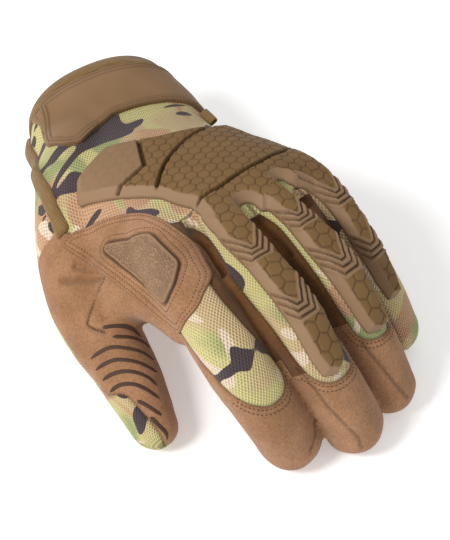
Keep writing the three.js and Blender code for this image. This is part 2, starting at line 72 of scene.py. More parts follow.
# Joints of each digit: x, y, z, half width, half thickness
DIGITS = {
    "index": (
        (-0.24, 0, 0.97),
        [
            (-22, -50, 56, 15, 15),
            (-30.5, -84, 63, 14.6, 16),
            (-38, -127, 57, 14, 16),
            (-33, -150, 36, 13.8, 14),
            (-26, -160, 14.5, 13.8, 13.5),
        ],
    ),
    "middle": (
        (0, 0, 1),
        [
            (-5, -50, 58, 15, 14),
            (-8.5, -85, 68.5, 14.2, 14.5),
            (-9.6, -135, 58.5, 13.7, 14),
            (-4, -160, 35.5, 13.4, 13.4),
            (2, -170, 14, 13.5, 13),
        ],
    ),
    "ring": (
        (0.14, 0, 0.99),
        [
            (12, -48, 56, 14, 13),
            (16.5, -80, 66, 14.5, 14),
            (21, -126, 57.5, 14.2, 13.8),
            (24.3, -150, 35, 12.8, 12.8),
            (28, -163, 13, 12.4, 12),
        ],
    ),
    "pinky": (
        (0.3, 0, 0.95),
        [
            (27, -46, 50, 14, 13),
            (40, -75, 59, 14, 13.5),
            (46, -105, 49.5, 12.4, 12.5),
            (49.5, -126, 30, 11.9, 12),
            (52, -138.5, 12, 11.6, 11.5),
        ],
    ),
    "thumb": (
        (-0.78, 0, -0.62),
        [
            (-8, 32, 30, 23, 23),
            (-17, 8, 30, 31, 26),
            (-33, -11, 28, 26.5, 24.5),
            (-50, -34, 24, 22, 21),
            (-60, -56, 20, 18, 17.5),
            (-64.3, -88, 17, 14.8, 14.5),
            (-69.5, -118.5, 12.5, 10.8, 10.3),
        ],
    ),
    "saddle": (
        (-0.6, 0, 0.8),
        [
            (-18, -42, 44, 25, 19),
            (-38, -64, 41, 25, 17),
            (-43.5, -84, 46.5, 10, 10),
            (-43, -106, 53, 9, 8),
        ],
    ),
}
FINGERS = ("index", "middle", "ring", "pinky")

# Edge of the camouflage on each digit: place along it and degrees from its back
BACKS = {
    "index": [
        (0.30, 22), (0.32, 26), (0.376, 25), (0.414, 28), (0.46, 37), (0.506, 48), (0.547, 60), (0.60, 66),
        (0.65, 64), (0.686, 56), (0.71, 37), (0.723, 20), (0.711, -12), (0.661, -36), (0.618, -49),
        (0.564, -55), (0.492, -64), (0.436, -72), (0.40, -82), (0.30, -92),
    ],
    "middle": [
        (0.18, -60), (0.26, -53), (0.31, -49), (0.36, -57), (0.42, -56), (0.50, -53), (0.577, -59),
        (0.637, -57), (0.676, -40), (0.693, -17), (0.70, 20), (0.68, 38), (0.60, 44), (0.50, 49),
        (0.42, 46), (0.34, 36), (0.28, 40), (0.24, 50), (0.18, 50),
    ],
    "ring": [
        (0.20, -60), (0.27, -50), (0.30, -46), (0.345, -40), (0.388, -43), (0.435, -47), (0.49, -52),
        (0.56, -59), (0.635, -59), (0.686, -52), (0.713, -24), (0.717, 19), (0.69, 38), (0.60, 42),
        (0.50, 44), (0.42, 36), (0.34, 40), (0.30, 56), (0.20, 60),
    ],
    "pinky": [
        (0.22, -60), (0.32, -49), (0.39, -45), (0.44, -51), (0.50, -56), (0.62, -60), (0.80, -62),
        (1.4, -64), (1.4, 80), (0.22, 80),
    ],
    "thumb": [
        (0.50, -60), (0.50, 34), (0.77, 36), (0.86, 40), (0.885, 52), (0.897, 76), (0.915, 94), (0.96, 102),
        (1.02, 111), (1.10, 130), (1.4, 140), (1.4, -60),
    ],
}
# Strips between the fingers: the digits beside each, and where its web is in the top view
FORKS = {
    "index_middle_fourchette": ("index", "middle", (-22, -110)),
    "middle_ring_fourchette": ("middle", "ring", (6, -109)),
    "ring_pinky_fourchette": ("ring", "pinky", (34, -104)),
}
# Places along a digit where its strips begin and end, and degrees from its back
FORK_START = {"index": 0.19, "middle": 0.28, "ring": 0.31}
FORK_END = {"index": 0.69, "middle": 0.675, "ring": 0.70, "pinky": 0.90}
FORK_FIRST = {"index": 0, "middle": 20, "ring": 20}
FORK_NEAR = 30
FORK_LAST = 116
# Half width, half length and least height of a web
WEB_HALF_WIDTH = 7
WEB_HALF_LENGTH = 14
WEB_HEIGHT = 49
# Where the suede cap of each fingertip begins
CAP_START = {"index": 0.64, "middle": 0.62, "ring": 0.62}
# Where the front panel of each digit begins
FRONTS = {"index": 0.37, "middle": 0.35, "ring": 0.35, "pinky": 0.36, "thumb": 0.50}

# Arms of the knuckle guard: place along the finger, middle and half width in degrees
ARMS = {
    "middle": [
        (0.24, 0, 30), (0.31, 0, 33), (0.38, 5, 30), (0.45, 10, 33), (0.52, 8, 34), (0.60, -6, 31),
        (0.67, -15, 23),
    ],
    "ring": [
        (0.24, -6, 28), (0.36, -6, 26), (0.43, -5, 33), (0.50, -6, 34), (0.57, -12, 30), (0.63, -14, 28),
        (0.69, -13, 24),
    ],
    "pinky": [
        (0.22, -10, 38), (0.38, -6, 30), (0.45, -11, 28), (0.53, -20, 28), (0.68, -25, 25), (0.78, -28, 17),
    ],
}
# How far the end of each arm runs to a point
ARM_POINTS = {"middle": 0.45, "ring": 0.4, "pinky": 0.1}
# Where the first dark line of each set of chevrons has its apex: place along the finger and degrees
CHEVRONS = {
    "middle": [(0.357, 2), (0.488, 6)],
    "ring": [(0.366, -5), (0.489, -3)],
    "pinky": [(0.382, -5), (0.560, -20)],
}

# Outlines in the top view
HAND_BACK = [(-25, 75), (-48, 3), (-54, -24), (-43, -60), (-34, -100), (-24, -116), (75, -116), (75, 75)]
CUFF_END = [(-95, -16), (-50, -22), (60, -14), (95, -14), (95, 85), (-95, 85)]
GUARD = [
    (-36, -8), (-16, -3), (5, -17), (30, -25), (37, -25), (42, -39), (50, -57), (54, -74), (54, -86),
    (39, -88), (30, -85), (28.6, -81), (26, -79.6), (24, -81.5), (23.2, -86), (20, -90), (8.5, -92), (8, -87),
    (5.5, -84.3), (2.5, -84.3), (0.3, -86.5), (-0.3, -92), (-4, -92), (-16, -90), (-15, -74), (-20, -55),
    (-31, -37), (-43, -20),
]
ANGLED_GROOVE = [(-4.5, -14), (-13.4, -33.8), (-31.2, -36)]
GROOVES = [
    [(28, -27.5), (10, -32), (-6, -40), (-18, -51)],
    [(46, -63), (36, -66), (22, -69), (4, -72), (-14, -75)],
]
LEFT_PLATE = [(-45, -37), (-31.2, -36), (-13.4, -33.8), (-4.5, -14), (-4, 5), (-45, 5)]
STRAP = [
    (-22, 75), (-25, 44), (-33, 24), (-29.5, 12.5), (-23.5, 8), (-11.8, 13), (0, 16), (18, 12.5), (43, 6),
    (90, 4), (90, 75),
]
STRAP_PATCH = [(-15, 62), (-20, 49), (-23, 42), (-32, 24), (-36, -4), (95, -8), (95, 90), (-15, 90)]
# Outlines in the saddle's view
SADDLE = [
    (-21, -27), (-10, -28), (1, -36), (12, -46), (21, -59), (25, -72), (27, -88), (23, -108), (10, -117),
    (-5, -115), (-9, -96), (-11, -79), (-13, -66), (-16, -51),
]
PAD = [(-7, -50), (-3, -48.5), (17, -72), (17.5, -95), (10, -101.5), (1.5, -103)]
# Outline in the slit's view
SLIT = [(-5, 54), (2.5, 54), (3, 2), (0, -13), (-2, -25), (-10, -25.5), (-7, -13), (-5, 2)]

# Axes of the other two views: across, up and towards the eye
SADDLE_VIEW = np.array([(0.8, 0, 0.6), (0, 1, 0), (-0.6, 0, 0.8)])
SLIT_VIEW = np.array([(0.707, 0, 0.707), (0, 1, 0), (-0.707, 0, 0.707)])

# Heights and widths of the knuckle guard's relief
GUARD_BORDER = 1.1
GUARD_RISE = 3.0
BEVEL = 4.0
ARM_BEVELS = (3.6, 1.7)  # on the thumb side and on the far side of an arm
HEX_PITCH = 5.3
ARM_HEX_PITCH = 5.8
HEX_DEPTH = 0.45
GROOVE_DEPTH = 2.6
CHEVRON_PITCH = 2.05
CHEVRON_DEPTH = 1.3
CHEVRON_TIP = 1.2  # half width of the straight tip
CHEVRON_WAY = (0.862, 0.507)  # across and along the arm, away from the tip

# Grip stripes on the thumb: places along it and degrees from its back
STRIPES = [
    [(0.756, 117), (0.763, 130), (0.776, 150), (0.797, 176)],
    [(0.786, 123), (0.797, 142), (0.811, 172), (0.822, 188)],
    [(0.792, 71), (0.803, 108), (0.822, 132), (0.842, 160), (0.855, 181)],
    [(0.821, 65), (0.833, 102), (0.852, 128), (0.873, 155), (0.885, 176)],
    [(0.852, 65), (0.860, 96), (0.875, 122), (0.896, 145), (0.916, 160)],
    [(0.882, 64), (0.886, 90), (0.900, 114), (0.923, 134), (0.949, 152)],
    [(0.937, 107), (0.958, 120), (1.003, 139)],
    [(0.999, 116), (1.032, 128), (1.055, 150)],
]
# Seams sewn into the suede of the thumb, through the drawing's points
SEAMS = [
    [(-54.8, -58.6, 47.2), (-59.7, -59.4, 38), (-69.1, -65.6, 34.5), (-70.4, -67.2, 33.5),
     (-69.6, -70.1, 33.7), (-66.4, -75.8, 34.3)],
    [(-70.4, -67.2, 33.5), (-69, -71.5, 33), (-67, -75.2, 33.2)],
]
# Soft creases of the suede: points, half width and depth
CREASES = [
    ([(-68.6, -39.3, 36.8), (-64.2, -45.7, 40), (-57.6, -50.7, 40.9), (-55, -58.2, 46.9)], 1.7, 3.2),
    ([(-60.2, -39.9, 42.9), (-56.5, -45, 43), (-54.1, -53.4, 46.6)], 2.3, 2.5),
    ([(-56.9, -62, 39), (-60, -66, 35.5), (-62, -72, 35)], 2.2, 2.3),
    ([(-17, -73, 79), (-20, -84, 77.5), (-22, -95, 75.5), (-22.5, -108, 72)], 2.4, 4.5),
    ([(4.5, -92, 80), (6, -103, 76), (6, -115, 70)], 2.6, 4.0),
    ([(30, -86, 76), (33, -96, 70)], 2.4, 3.5),
]
# Seams along the fingertips: places along the digit and degrees from its back
CAP_SEAMS = {
    "index": [(0.62, 74), (0.70, 71), (0.768, 69), (0.887, 50), (0.95, 28), (1.01, 2)],
    "middle": [(0.60, -67), (0.66, -65), (0.72, -64), (0.84, -63), (0.95, -61), (1.02, -58)],
    "ring": [(0.69, -57), (0.724, -53), (0.829, -47), (0.93, -38), (1.02, -24)],
}


# Numbers


def blend(rows, t):
    """Smooth interpolation of the rows of a table at places t from 0 to 1."""
    rows = np.asarray(rows, float)
    last = len(rows) - 1
    along = np.clip(t, 0, 1) * last
    i = np.minimum(along.astype(int), last - 1)
    f = (along - i)[:, None]
    p0, p1, p2, p3 = (rows[np.clip(i + k, 0, last)] for k in (-1, 0, 1, 2))
    return 0.5 * (2 * p1 + (p2 - p0) * f + (2 * p0 - 5 * p1 + 4 * p2 - p3) * f**2
                  + (3 * p1 - p0 - 3 * p2 + p3) * f**3)


def unit(v):
    return v / np.maximum(np.linalg.norm(v, axis=-1, keepdims=True), 1e-12)


def power(value, exponent):
    return np.sign(value) * np.abs(value) ** exponent


def ramp(x, low, high):
    """0 below low, 1 above high, and smooth between."""
    s = np.clip((x - low) / (high - low), 0, 1)
    return s * s * (3 - 2 * s)


class Tube:
    """A digit or the hand: sections along a smooth centre line."""

    def __init__(self, rows, back, count=260):
        self.t = np.linspace(0, 1, count)
        table = blend(rows, self.t)
        self.centre = table[:, :3]
        self.size = table[:, 3:]
        step = 0.01
        ahead = blend(rows, np.minimum(1, self.t + step))[:, :3]
        behind = blend(rows, np.maximum(0, self.t - step))[:, :3]
        self.along = unit(ahead - behind)
        self.side = unit(np.cross(np.asarray(back, float), self.along))
        self.back = unit(np.cross(self.along, self.side))
        steps = np.linalg.norm(np.diff(self.centre, axis=0), axis=1)
        self.reach = np.concatenate([[0], np.cumsum(steps)])
        self.length = self.reach[-1]

    def at(self, t):
        """Millimetres along the centre line at a place t."""
        beyond = np.maximum(t - 1, 0) + np.minimum(t, 0)
        return np.interp(t, self.t, self.reach) + beyond * self.length

    def unrolled(self, places):
        """Places along the tube and degrees round it, as millimetres along and round."""
        t, angle = np.array(places, float).T
        size = np.interp(t, self.t, self.size[:, :2].mean(1))
        return np.stack([self.at(t), angle * size * math.pi / 180], 1)

    def nearest(self, points, batch=20000):
        """Number of the nearest place on the centre line, worked out in batches to save memory."""
        found = np.empty(len(points), int)
        for start in range(0, len(points), batch):
            part = points[start:start + batch]
            distance = (part**2).sum(1)[:, None] - 2 * part @ self.centre.T + (self.centre**2).sum(1)
            found[start:start + batch] = distance.argmin(1)
        return found

    def locate(self, points):
        """Where points are on the tube: t along it, angle in degrees from its back, rho from the axis
        as a share of the section, degree in millimetres round the section, u and v from the axis to
        the side and the back, along in millimetres, and flat along and round in millimetres."""
        i = self.nearest(points)
        d = points - self.centre[i]
        on = (d * self.along[i]).sum(1)
        arc = self.reach[i] + on
        beyond = np.maximum(arc - self.length, 0) + np.minimum(arc, 0)
        t = np.interp(arc, self.reach, self.t) + beyond / self.length
        u = (d * self.side[i]).sum(1)
        v = (d * self.back[i]).sum(1)
        wide, thick = self.size[i, 0], self.size[i, 1]
        rho = (np.abs(u / wide) ** SQUARENESS + np.abs(v / thick) ** SQUARENESS) ** (1 / SQUARENESS)
        angle = np.degrees(np.arctan2(u, v))
        degree = (wide + thick) / 2 * math.pi / 180
        flat = np.stack([arc, angle * degree], 1)
        return {
            "t": t, "angle": angle, "rho": rho, "degree": degree, "u": u, "v": v, "along": arc, "flat": flat,
        }


TUBES = {name: Tube(rows, back) for name, (back, rows) in DIGITS.items()}
PALM = Tube(HAND, UP)


def hand_ring(t, offset, sides, beyond=0.0):
    """Ring of the hand at t, grown by offset and moved on by beyond along the hand."""
    row = blend(HAND, np.array([t]))[0]
    i = int(round(t * (len(PALM.t) - 1)))
    angle = 2 * math.pi * np.arange(sides) / sides
    u = power(np.cos(angle), 2 / SQUARENESS)
    v = power(np.sin(angle), 2 / SQUARENESS)
    x, y, z, wide, up, down, arch, roll = row
    across = (wide + offset) * u
    height = (np.where(v > 0, up, down) + offset) * v - arch * u * u
    turn = math.radians(roll)
    right = across * math.cos(turn) - height * math.sin(turn)
    top = across * math.sin(turn) + height * math.cos(turn)
    centre = np.array([x, y, z]) + beyond * PALM.along[i]
    return centre + right[:, None] * PALM.side[i] + top[:, None] * PALM.back[i]


def digit_rings(tube, sides=64, steps=80):
    angle = 2 * math.pi * np.arange(sides) / sides
    u = power(np.cos(angle), 2 / SQUARENESS)[:, None]
    v = power(np.sin(angle), 2 / SQUARENESS)[:, None]
    rings = []
    for i in np.linspace(0, len(tube.t) - 1, steps).astype(int):
        wide, thick = tube.size[i]
        rings.append(tube.centre[i] + wide * u * tube.side[i] + thick * v * tube.back[i])
    wide, thick = tube.size[-1]
    for bow in np.radians(np.arange(8, 89, 8)):
        centre = tube.centre[-1] + tube.along[-1] * thick * math.sin(bow)
        shrink = math.cos(bow)
        rings.append(centre + wide * shrink * u * tube.side[-1] + thick * shrink * v * tube.back[-1])
    return np.array(rings)


def loft(rings):
    """Points and faces of a closed tube through rings."""
    count, sides = rings.shape[:2]
    faces = []
    for i in range(count - 1):
        for j in range(sides):
            a, b = i * sides + j, i * sides + (j + 1) % sides
            faces.append((a, b, b + sides, a + sides))
    last = (count - 1) * sides
    faces.append(tuple(range(sides))[::-1])
    faces.append(tuple(range(last, last + sides)))
    return rings.reshape(-1, 3), faces


# The smooth shell that everything lies on


def joined(parts):
    points, faces, start = [], [], 0
    for co, own in parts:
        points.append(co)
        faces += [tuple(start + k for k in face) for face in own]
        start += len(co)
    return np.concatenate(points), faces


def remeshed(points, faces, size):
    """One closed skin round overlapping closed meshes, as points and triangles."""
    mesh = bpy.data.meshes.new("scratch")
    mesh.from_pydata(points.tolist(), [], faces)
    made = bpy.data.objects.new("scratch", mesh)
    bpy.context.scene.collection.objects.link(made)
    remesh = made.modifiers.new("union", "REMESH")
    remesh.mode = "VOXEL"
    remesh.voxel_size = size
    graph = bpy.context.evaluated_depsgraph_get()
    result = made.evaluated_get(graph).to_mesh()
    result.calc_loop_triangles()
    co = np.zeros(len(result.vertices) * 3)
    result.vertices.foreach_get("co", co)
    triangles = np.zeros(len(result.loop_triangles) * 3, int)
    result.loop_triangles.foreach_get("vertices", triangles)
    bpy.data.objects.remove(made)
    bpy.data.meshes.remove(mesh)
    return co.reshape(-1, 3), triangles.reshape(-1, 3)


def edges_of(faces):
    pairs = np.concatenate([faces[:, [0, 1]], faces[:, [1, 2]], faces[:, [2, 0]]])
    return np.unique(np.sort(pairs, axis=1), axis=0)


def normals_of(points, faces):
    a, b, c = (points[faces[:, k]] for k in range(3))
    corner = np.cross(b - a, c - a)
    ends = faces.ravel()
    total = np.stack([np.bincount(ends, np.repeat(corner[:, k], 3), len(points)) for k in range(3)], 1)
    return unit(total)


def mean_step(points, edges):
    """From each point to the mean of its neighbours."""
    degree = np.bincount(edges.ravel(), minlength=len(points))
    total = np.stack([
        np.bincount(edges[:, 0], points[edges[:, 1], k], len(points))
        + np.bincount(edges[:, 1], points[edges[:, 0], k], len(points))
        for k in range(3)
    ], 1)
    return total / np.maximum(degree, 1)[:, None] - points


def relaxed(points, faces, times, share=0.5):
    edges = edges_of(faces)
    for _ in range(times):
        points = points + share * mean_step(points, edges)
    return points


def filleted(points, faces, times):
    """Fills the sharp valleys between tubes with a smooth fillet, less so between the fingers."""
    fingers = np.minimum(ramp(-points[:, 1], 78, 92), ramp(points[:, 0], -40, -34))
    share = (0.6 * (1 - 0.93 * fingers))[:, None]
    edges = edges_of(faces)
    for turn in range(times):
        if turn % 5 == 0:
            normals = normals_of(points, faces)
        step = mean_step(points, edges)
        hollow = (step * normals).sum(1)
        points = points + step * np.clip(hollow / 0.03, 0, 1)[:, None] * share
    return points


# Soft swellings of the cloth: centre, radius and height
SWELLS = [
    ((-30, 40, 20), 15, 3.2),
    ((-47, 8, 20), 10, -1.5),
    ((-50, -8, 20), 13, 1.5),
]


def shell():
    rings = [hand_ring(0, 0, 96, beyond=-6)]
    rings += [hand_ring(t, 0, 96) for t in np.linspace(0, 1, 90)]
    parts = [loft(np.array(rings))]
    parts += [loft(digit_rings(tube)) for tube in TUBES.values()]
    points, faces = remeshed(*joined(parts), VOXEL)
    points = relaxed(points, faces, 2)
    points = filleted(points, faces, 45)
    points = relaxed(points, faces, 2)
    normals = normals_of(points, faces)
    for centre, radius, height in SWELLS:
        near = np.exp(-((points - np.array(centre)) ** 2).sum(1) / radius**2)
        points = points + normals * (height * near)[:, None]
    wave = np.array([noise.noise(Vector(p) * 0.07) for p in points])
    wave += 0.5 * np.array([noise.noise(Vector(p) * 0.16 + Vector((7, 3, 1))) for p in points])
    points = points + normals * (0.35 * wave)[:, None]
    for line, width, depth in CREASES:
        distance, place = line_distance(points, curve_through(line))
        fade = ramp(place, 0, 0.15) * ramp(1 - place, 0, 0.1)
        points = points - normals * (depth * fade * np.exp(-(distance / width) ** 2))[:, None]
    points[:, 2] = np.maximum(points[:, 2], REST_HEIGHT)
    return points, faces


class Skin:
    """Triangles with named values at their points. co is the place and no the way out."""

    def __init__(self, faces, **values):
        self.faces = faces
        self.values = values

    def __getattr__(self, name):
        if name in ("values", "faces"):
            raise AttributeError(name)
        return self.values[name]

    def cut(self, field, snap=0.06):
        """The part of the skin where field is at least 0."""
        f = np.where(np.abs(field) < snap, 0.0, field)
        inside = f >= 0
        count = inside[self.faces].sum(1)
        keep = self.faces[count == 3]
        pairs, found = [], []

        def crossing(i, j):
            """Numbers of the points where the edges from inside i to outside j cross 0."""
            pairs.append(np.stack([i, j], 1))
            return slice(sum(map(len, pairs[:-1])), sum(map(len, pairs)))

        one = self.faces[count == 1]
        two = self.faces[count == 2]
        one = np.stack([np.roll(face, -int(inside[face].argmax())) for face in one]) if len(one) else one
        two = np.stack([np.roll(face, -int((~inside[face]).argmax())) for face in two]) if len(two) else two
        if len(one):
            found.append(("one", crossing(one[:, 0], one[:, 1]), crossing(one[:, 0], one[:, 2])))
        if len(two):
            found.append(("two", crossing(two[:, 1], two[:, 0]), crossing(two[:, 2], two[:, 0])))
        faces = [keep]
        values = self.values
        if pairs:
            pairs = np.concatenate(pairs)
            key, place = np.unique(pairs[:, 0] * len(f) + pairs[:, 1], return_inverse=True)
            i, j = key // len(f), key % len(f)
            w = (f[i] / (f[i] - f[j]))[:, None]
            number = np.where(f[i] == 0, i, len(f) + np.arange(len(key)))[place]
            values = {}
            for name, value in self.values.items():
                flat = value.reshape(len(f), -1)
                crossed = flat[i] * (1 - w) + flat[j] * w
                values[name] = np.concatenate([flat, crossed]).reshape((-1,) + value.shape[1:])
            for kind, first, second in found:
                a, b = number[first], number[second]
                if kind == "one":
                    faces.append(np.stack([one[:, 0], a, b], 1))
                else:
                    faces.append(np.stack([a, two[:, 1], two[:, 2]], 1))
                    faces.append(np.stack([a, two[:, 2], b], 1))
        faces = np.concatenate(faces)
        good = (faces[:, 0] != faces[:, 1]) & (faces[:, 1] != faces[:, 2]) & (faces[:, 2] != faces[:, 0])
        return Skin(faces[good], **values).packed()

    def packed(self):
        used, faces = np.unique(self.faces, return_inverse=True)
        return Skin(faces.reshape(-1, 3), **{name: value[used] for name, value in self.values.items()})

    def finer(self, times=1):
        """Each triangle as four."""
        skin = self
        for _ in range(times):
            faces = skin.faces
            count = len(skin.co)
            ends = np.concatenate([faces[:, [0, 1]], faces[:, [1, 2]], faces[:, [2, 0]]])
            ends = np.sort(ends, axis=1)
            key, place = np.unique(ends[:, 0] * count + ends[:, 1], return_inverse=True)
            i, j = key // count, key % count
            values = {
                name: np.concatenate([value, (value[i] + value[j]) / 2])
                for name, value in skin.values.items()
            }
            ab, bc, ca = (count + place).reshape(3, -1)
            a, b, c = faces.T
            faces = np.concatenate([
                np.stack(corner, 1) for corner in ((a, ab, ca), (ab, b, bc), (ca, bc, c), (ab, bc, ca))
            ])
            skin = Skin(faces, **values)
        return skin

    def boundary(self):
        """Directed edges that only one triangle has."""
        pairs = np.concatenate([self.faces[:, [0, 1]], self.faces[:, [1, 2]], self.faces[:, [2, 0]]])
        count = len(self.co)
        key = pairs[:, 0] * count + pairs[:, 1]
        back = pairs[:, 1] * count + pairs[:, 0]
        return pairs[~np.isin(key, back)]

    def biggest(self, least=0.02):
        """Without loose crumbs: only bodies with at least this share of the triangles stay."""
        label = np.arange(len(self.co))
        edges = edges_of(self.faces)
        while True:
            low = np.minimum(label[edges[:, 0]], label[edges[:, 1]])
            new = label.copy()
            np.minimum.at(new, edges[:, 0], low)
            np.minimum.at(new, edges[:, 1], low)
            new = new[new]
            if (new == label).all():
                break
            label = new
        size = np.bincount(label[self.faces[:, 0]], minlength=len(self.co))
        keep = size[label[self.faces[:, 0]]] >= least * len(self.faces)
        return Skin(self.faces[keep], **self.values).packed()


# Fields: positive inside, about in millimetres


def outline_field(points, outline, radius=0.0):
    """Signed distance to a closed outline in a plane, with its corners rounded."""
    corners = np.asarray(outline, float)
    if radius > 0:
        made = []
        for k in range(len(corners)):
            before, here, after = corners[k - 1], corners[k], corners[(k + 1) % len(corners)]
            a = here + unit(before - here) * min(radius, 0.45 * np.linalg.norm(before - here))
            b = here + unit(after - here) * min(radius, 0.45 * np.linalg.norm(after - here))
            made += [(1 - s) ** 2 * a + 2 * s * (1 - s) * here + s * s * b for s in np.linspace(0, 1, 6)]
        corners = np.array(made)
    best = np.full(len(points), np.inf)
    odd = np.zeros(len(points), bool)
    x, y = points[:, 0], points[:, 1]
    for a, b in zip(corners, np.roll(corners, -1, axis=0)):
        ab = b - a
        share = np.clip(((points - a) @ ab) / max(ab @ ab, 1e-12), 0, 1)
        best = np.minimum(best, ((points - a - share[:, None] * ab) ** 2).sum(1))
        crosses = (a[1] > y) != (b[1] > y)
        with np.errstate(divide="ignore", invalid="ignore"):
            at = a[0] + (y - a[1]) * (b[0] - a[0]) / (b[1] - a[1])
        odd ^= crosses & (x < at)
    distance = np.sqrt(best)
    return np.where(odd, distance, -distance)


def line_distance(points, line):
    """Distance to an open line through points of any dimension, and the place along it from 0 to 1."""
    line = np.asarray(line, float)
    best = np.full(len(points), np.inf)
    place = np.zeros(len(points))
    for k, (a, b) in enumerate(zip(line[:-1], line[1:])):
        ab = b - a
        share = np.clip(((points - a) @ ab) / (ab @ ab), 0, 1)
        distance = np.sqrt(((points - a - share[:, None] * ab) ** 2).sum(1))
        place = np.where(distance < best, (k + share) / (len(line) - 1), place)
        best = np.minimum(best, distance)
    return best, place


def curve_through(points, count=24):
    return blend(points, np.linspace(0, 1, count))


def soft_union(a, b, reach):
    """The greater of two fields, with the corner between them filled."""
    close = np.clip(1 - np.abs(a - b) / reach, 0, 1)
    return np.maximum(a, b) + reach * close**2 / 4


def seen(points, view):
    """Points in a view's own axes."""
    return points @ view.T


def upper_half(points):
    """Height above the hand's side seam."""
    here = PALM.locate(points)
    i = PALM.nearest(points)
    turn = np.radians(PALM.size[i, 4])
    u = here["u"] * np.cos(turn) + here["v"] * np.sin(turn)
    v = here["v"] * np.cos(turn) - here["u"] * np.sin(turn)
    return v + PALM.size[i, 3] * np.clip(u / PALM.size[i, 0], -1, 1) ** 2


def grip(here):
    """Near enough to a digit to belong to it."""
    return (1.16 - here["rho"]) * 15


def back_field(name, here):
    outline = TUBES[name].unrolled(BACKS[name])
    return np.minimum(outline_field(here["flat"], outline, 4), grip(here))


def fork_field(name, points, places):
    left, right, (x, y) = FORKS[name]
    sides = []
    for finger, first, last in ((left, FORK_FIRST[left], FORK_LAST), (right, -FORK_LAST, -FORK_NEAR)):
        here = places[finger]
        tube = TUBES[finger]
        sides.append(np.min([
            here["along"] - tube.at(FORK_START[left]),
            tube.at(FORK_END[finger]) - here["along"],
            (here["angle"] - first) * here["degree"],
            (last - here["angle"]) * here["degree"],
            grip(here),
        ], axis=0))
    web = np.min([
        WEB_HALF_WIDTH - np.abs(points[:, 0] - x),
        WEB_HALF_LENGTH - np.abs(points[:, 1] - y),
        points[:, 2] - WEB_HEIGHT,
    ], axis=0)
    return np.max([*sides, web], axis=0)


def panel_fields(points):
    """Each panel's field before its neighbours are taken off it, in the order of cutting."""
    places = {name: tube.locate(points) for name, tube in TUBES.items()}
    fields = {}
    for name in BACKS:
        fields[f"{name}_back"] = back_field(name, places[name])
    for name, start in CAP_START.items():
        here = places[name]
        fields[f"{name}_cap"] = np.minimum(here["along"] - TUBES[name].at(start), grip(here))
    for name in FORKS:
        fields[name] = fork_field(name, points, places)
    fields["hand_back"] = np.minimum(outline_field(points[:, :2], HAND_BACK, 4), upper_half(points))
    for name, start in FRONTS.items():
        here = places[name]
        fields[f"{name}_front"] = np.minimum(here["along"] - TUBES[name].at(start), grip(here))
    fields["cuff_under"] = outline_field(points[:, :2], CUFF_END)
    return fields


# Meshes


def made_object(name, co, faces, material, **attributes):
    """A Blender mesh from points in the drawing's millimetres."""
    mesh = bpy.data.meshes.new(name)
    place = (co + SHIFT) * MM
    place[:, 2] = np.maximum(place[:, 2], 0.0)
    mesh.from_pydata(place.tolist(), [], faces.tolist())
    for key, value in attributes.items():
        kind = "FLOAT_VECTOR" if value.ndim == 2 else "FLOAT"
        layer = mesh.attributes.new(key, kind, "POINT")
        layer.data.foreach_set("vector" if value.ndim == 2 else "value", value.astype(np.float32).ravel())
    mesh.polygons.foreach_set("use_smooth", [True] * len(mesh.polygons))
    mesh.update()
    mesh.materials.append(material)
    made = bpy.data.objects.new(name, mesh)
    bpy.context.scene.collection.objects.link(made)
    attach(made, "root")
    return made


def thick(skin, outer, inner):
    """Points and faces of a closed body between the outer and inner places of a skin."""
    count = len(skin.co)
    edge = skin.boundary()
    a, b = edge.T
    walls = np.concatenate([np.stack([b, a, a + count], 1), np.stack([b, a + count, b + count], 1)])
    faces = np.concatenate([skin.faces, skin.faces[:, ::-1] + count, walls])
    return np.concatenate([outer, inner]), faces


def piece(name, skin, outer, inner, material, replaced, slot, **attributes):
    """A closed body on the frame's root. Its painted shade darkens its colour in grooves, seams and at edges:
    1 is none.
    """
    attributes.setdefault("shade", np.ones(len(skin.co)))
    co, faces = thick(skin, outer, inner)
    doubled = {key: np.concatenate([value, value]) for key, value in attributes.items()}
    made = made_object(name, co, faces, material, **doubled)
    made.data.set_sharp_from_angle(angle=math.radians(50))
    if replaced:
        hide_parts(*replaced)
    return made


def level_lines(skin, points, field, level, least=8.0):
    """Lines on a skin where field has this level, as lists of points and ways out."""
    f = field - level
    f = np.where(f == 0, 1e-9, f)
    inside = f > 0
    count = inside[skin.faces].sum(1)
    mixed = skin.faces[(count == 1) | (count == 2)]
    links = {}
    place = {}
    for face in mixed:
        found = []
        for i, j in ((face[0], face[1]), (face[1], face[2]), (face[2], face[0])):
            if inside[i] != inside[j]:
                key = (min(i, j), max(i, j))
                if key not in place:
                    w = f[key[0]] / (f[key[0]] - f[key[1]])
                    place[key] = (points[key[0]] * (1 - w) + points[key[1]] * w,
                                  skin.no[key[0]] * (1 - w) + skin.no[key[1]] * w)
                found.append(key)
        a, b = found
        links.setdefault(a, []).append(b)
        links.setdefault(b, []).append(a)
    lines = []
    free = set(links)
    while free:
        start = next((k for k in sorted(free) if len(links[k]) == 1), None) or min(free)
        chain = [start]
        free.discard(start)
        while True:
            follow = [k for k in links[chain[-1]] if k in free]
            if not follow:
                break
            chain.append(follow[0])
            free.discard(follow[0])
        if len(chain) > 2 and chain[0] in links[chain[-1]]:
            chain.append(chain[0])
        co = np.array([place[k][0] for k in chain])
        if len(co) > 2 and np.linalg.norm(np.diff(co, axis=0), axis=1).sum() > least:
            lines.append((co, np.array([place[k][1] for k in chain])))
    return lines


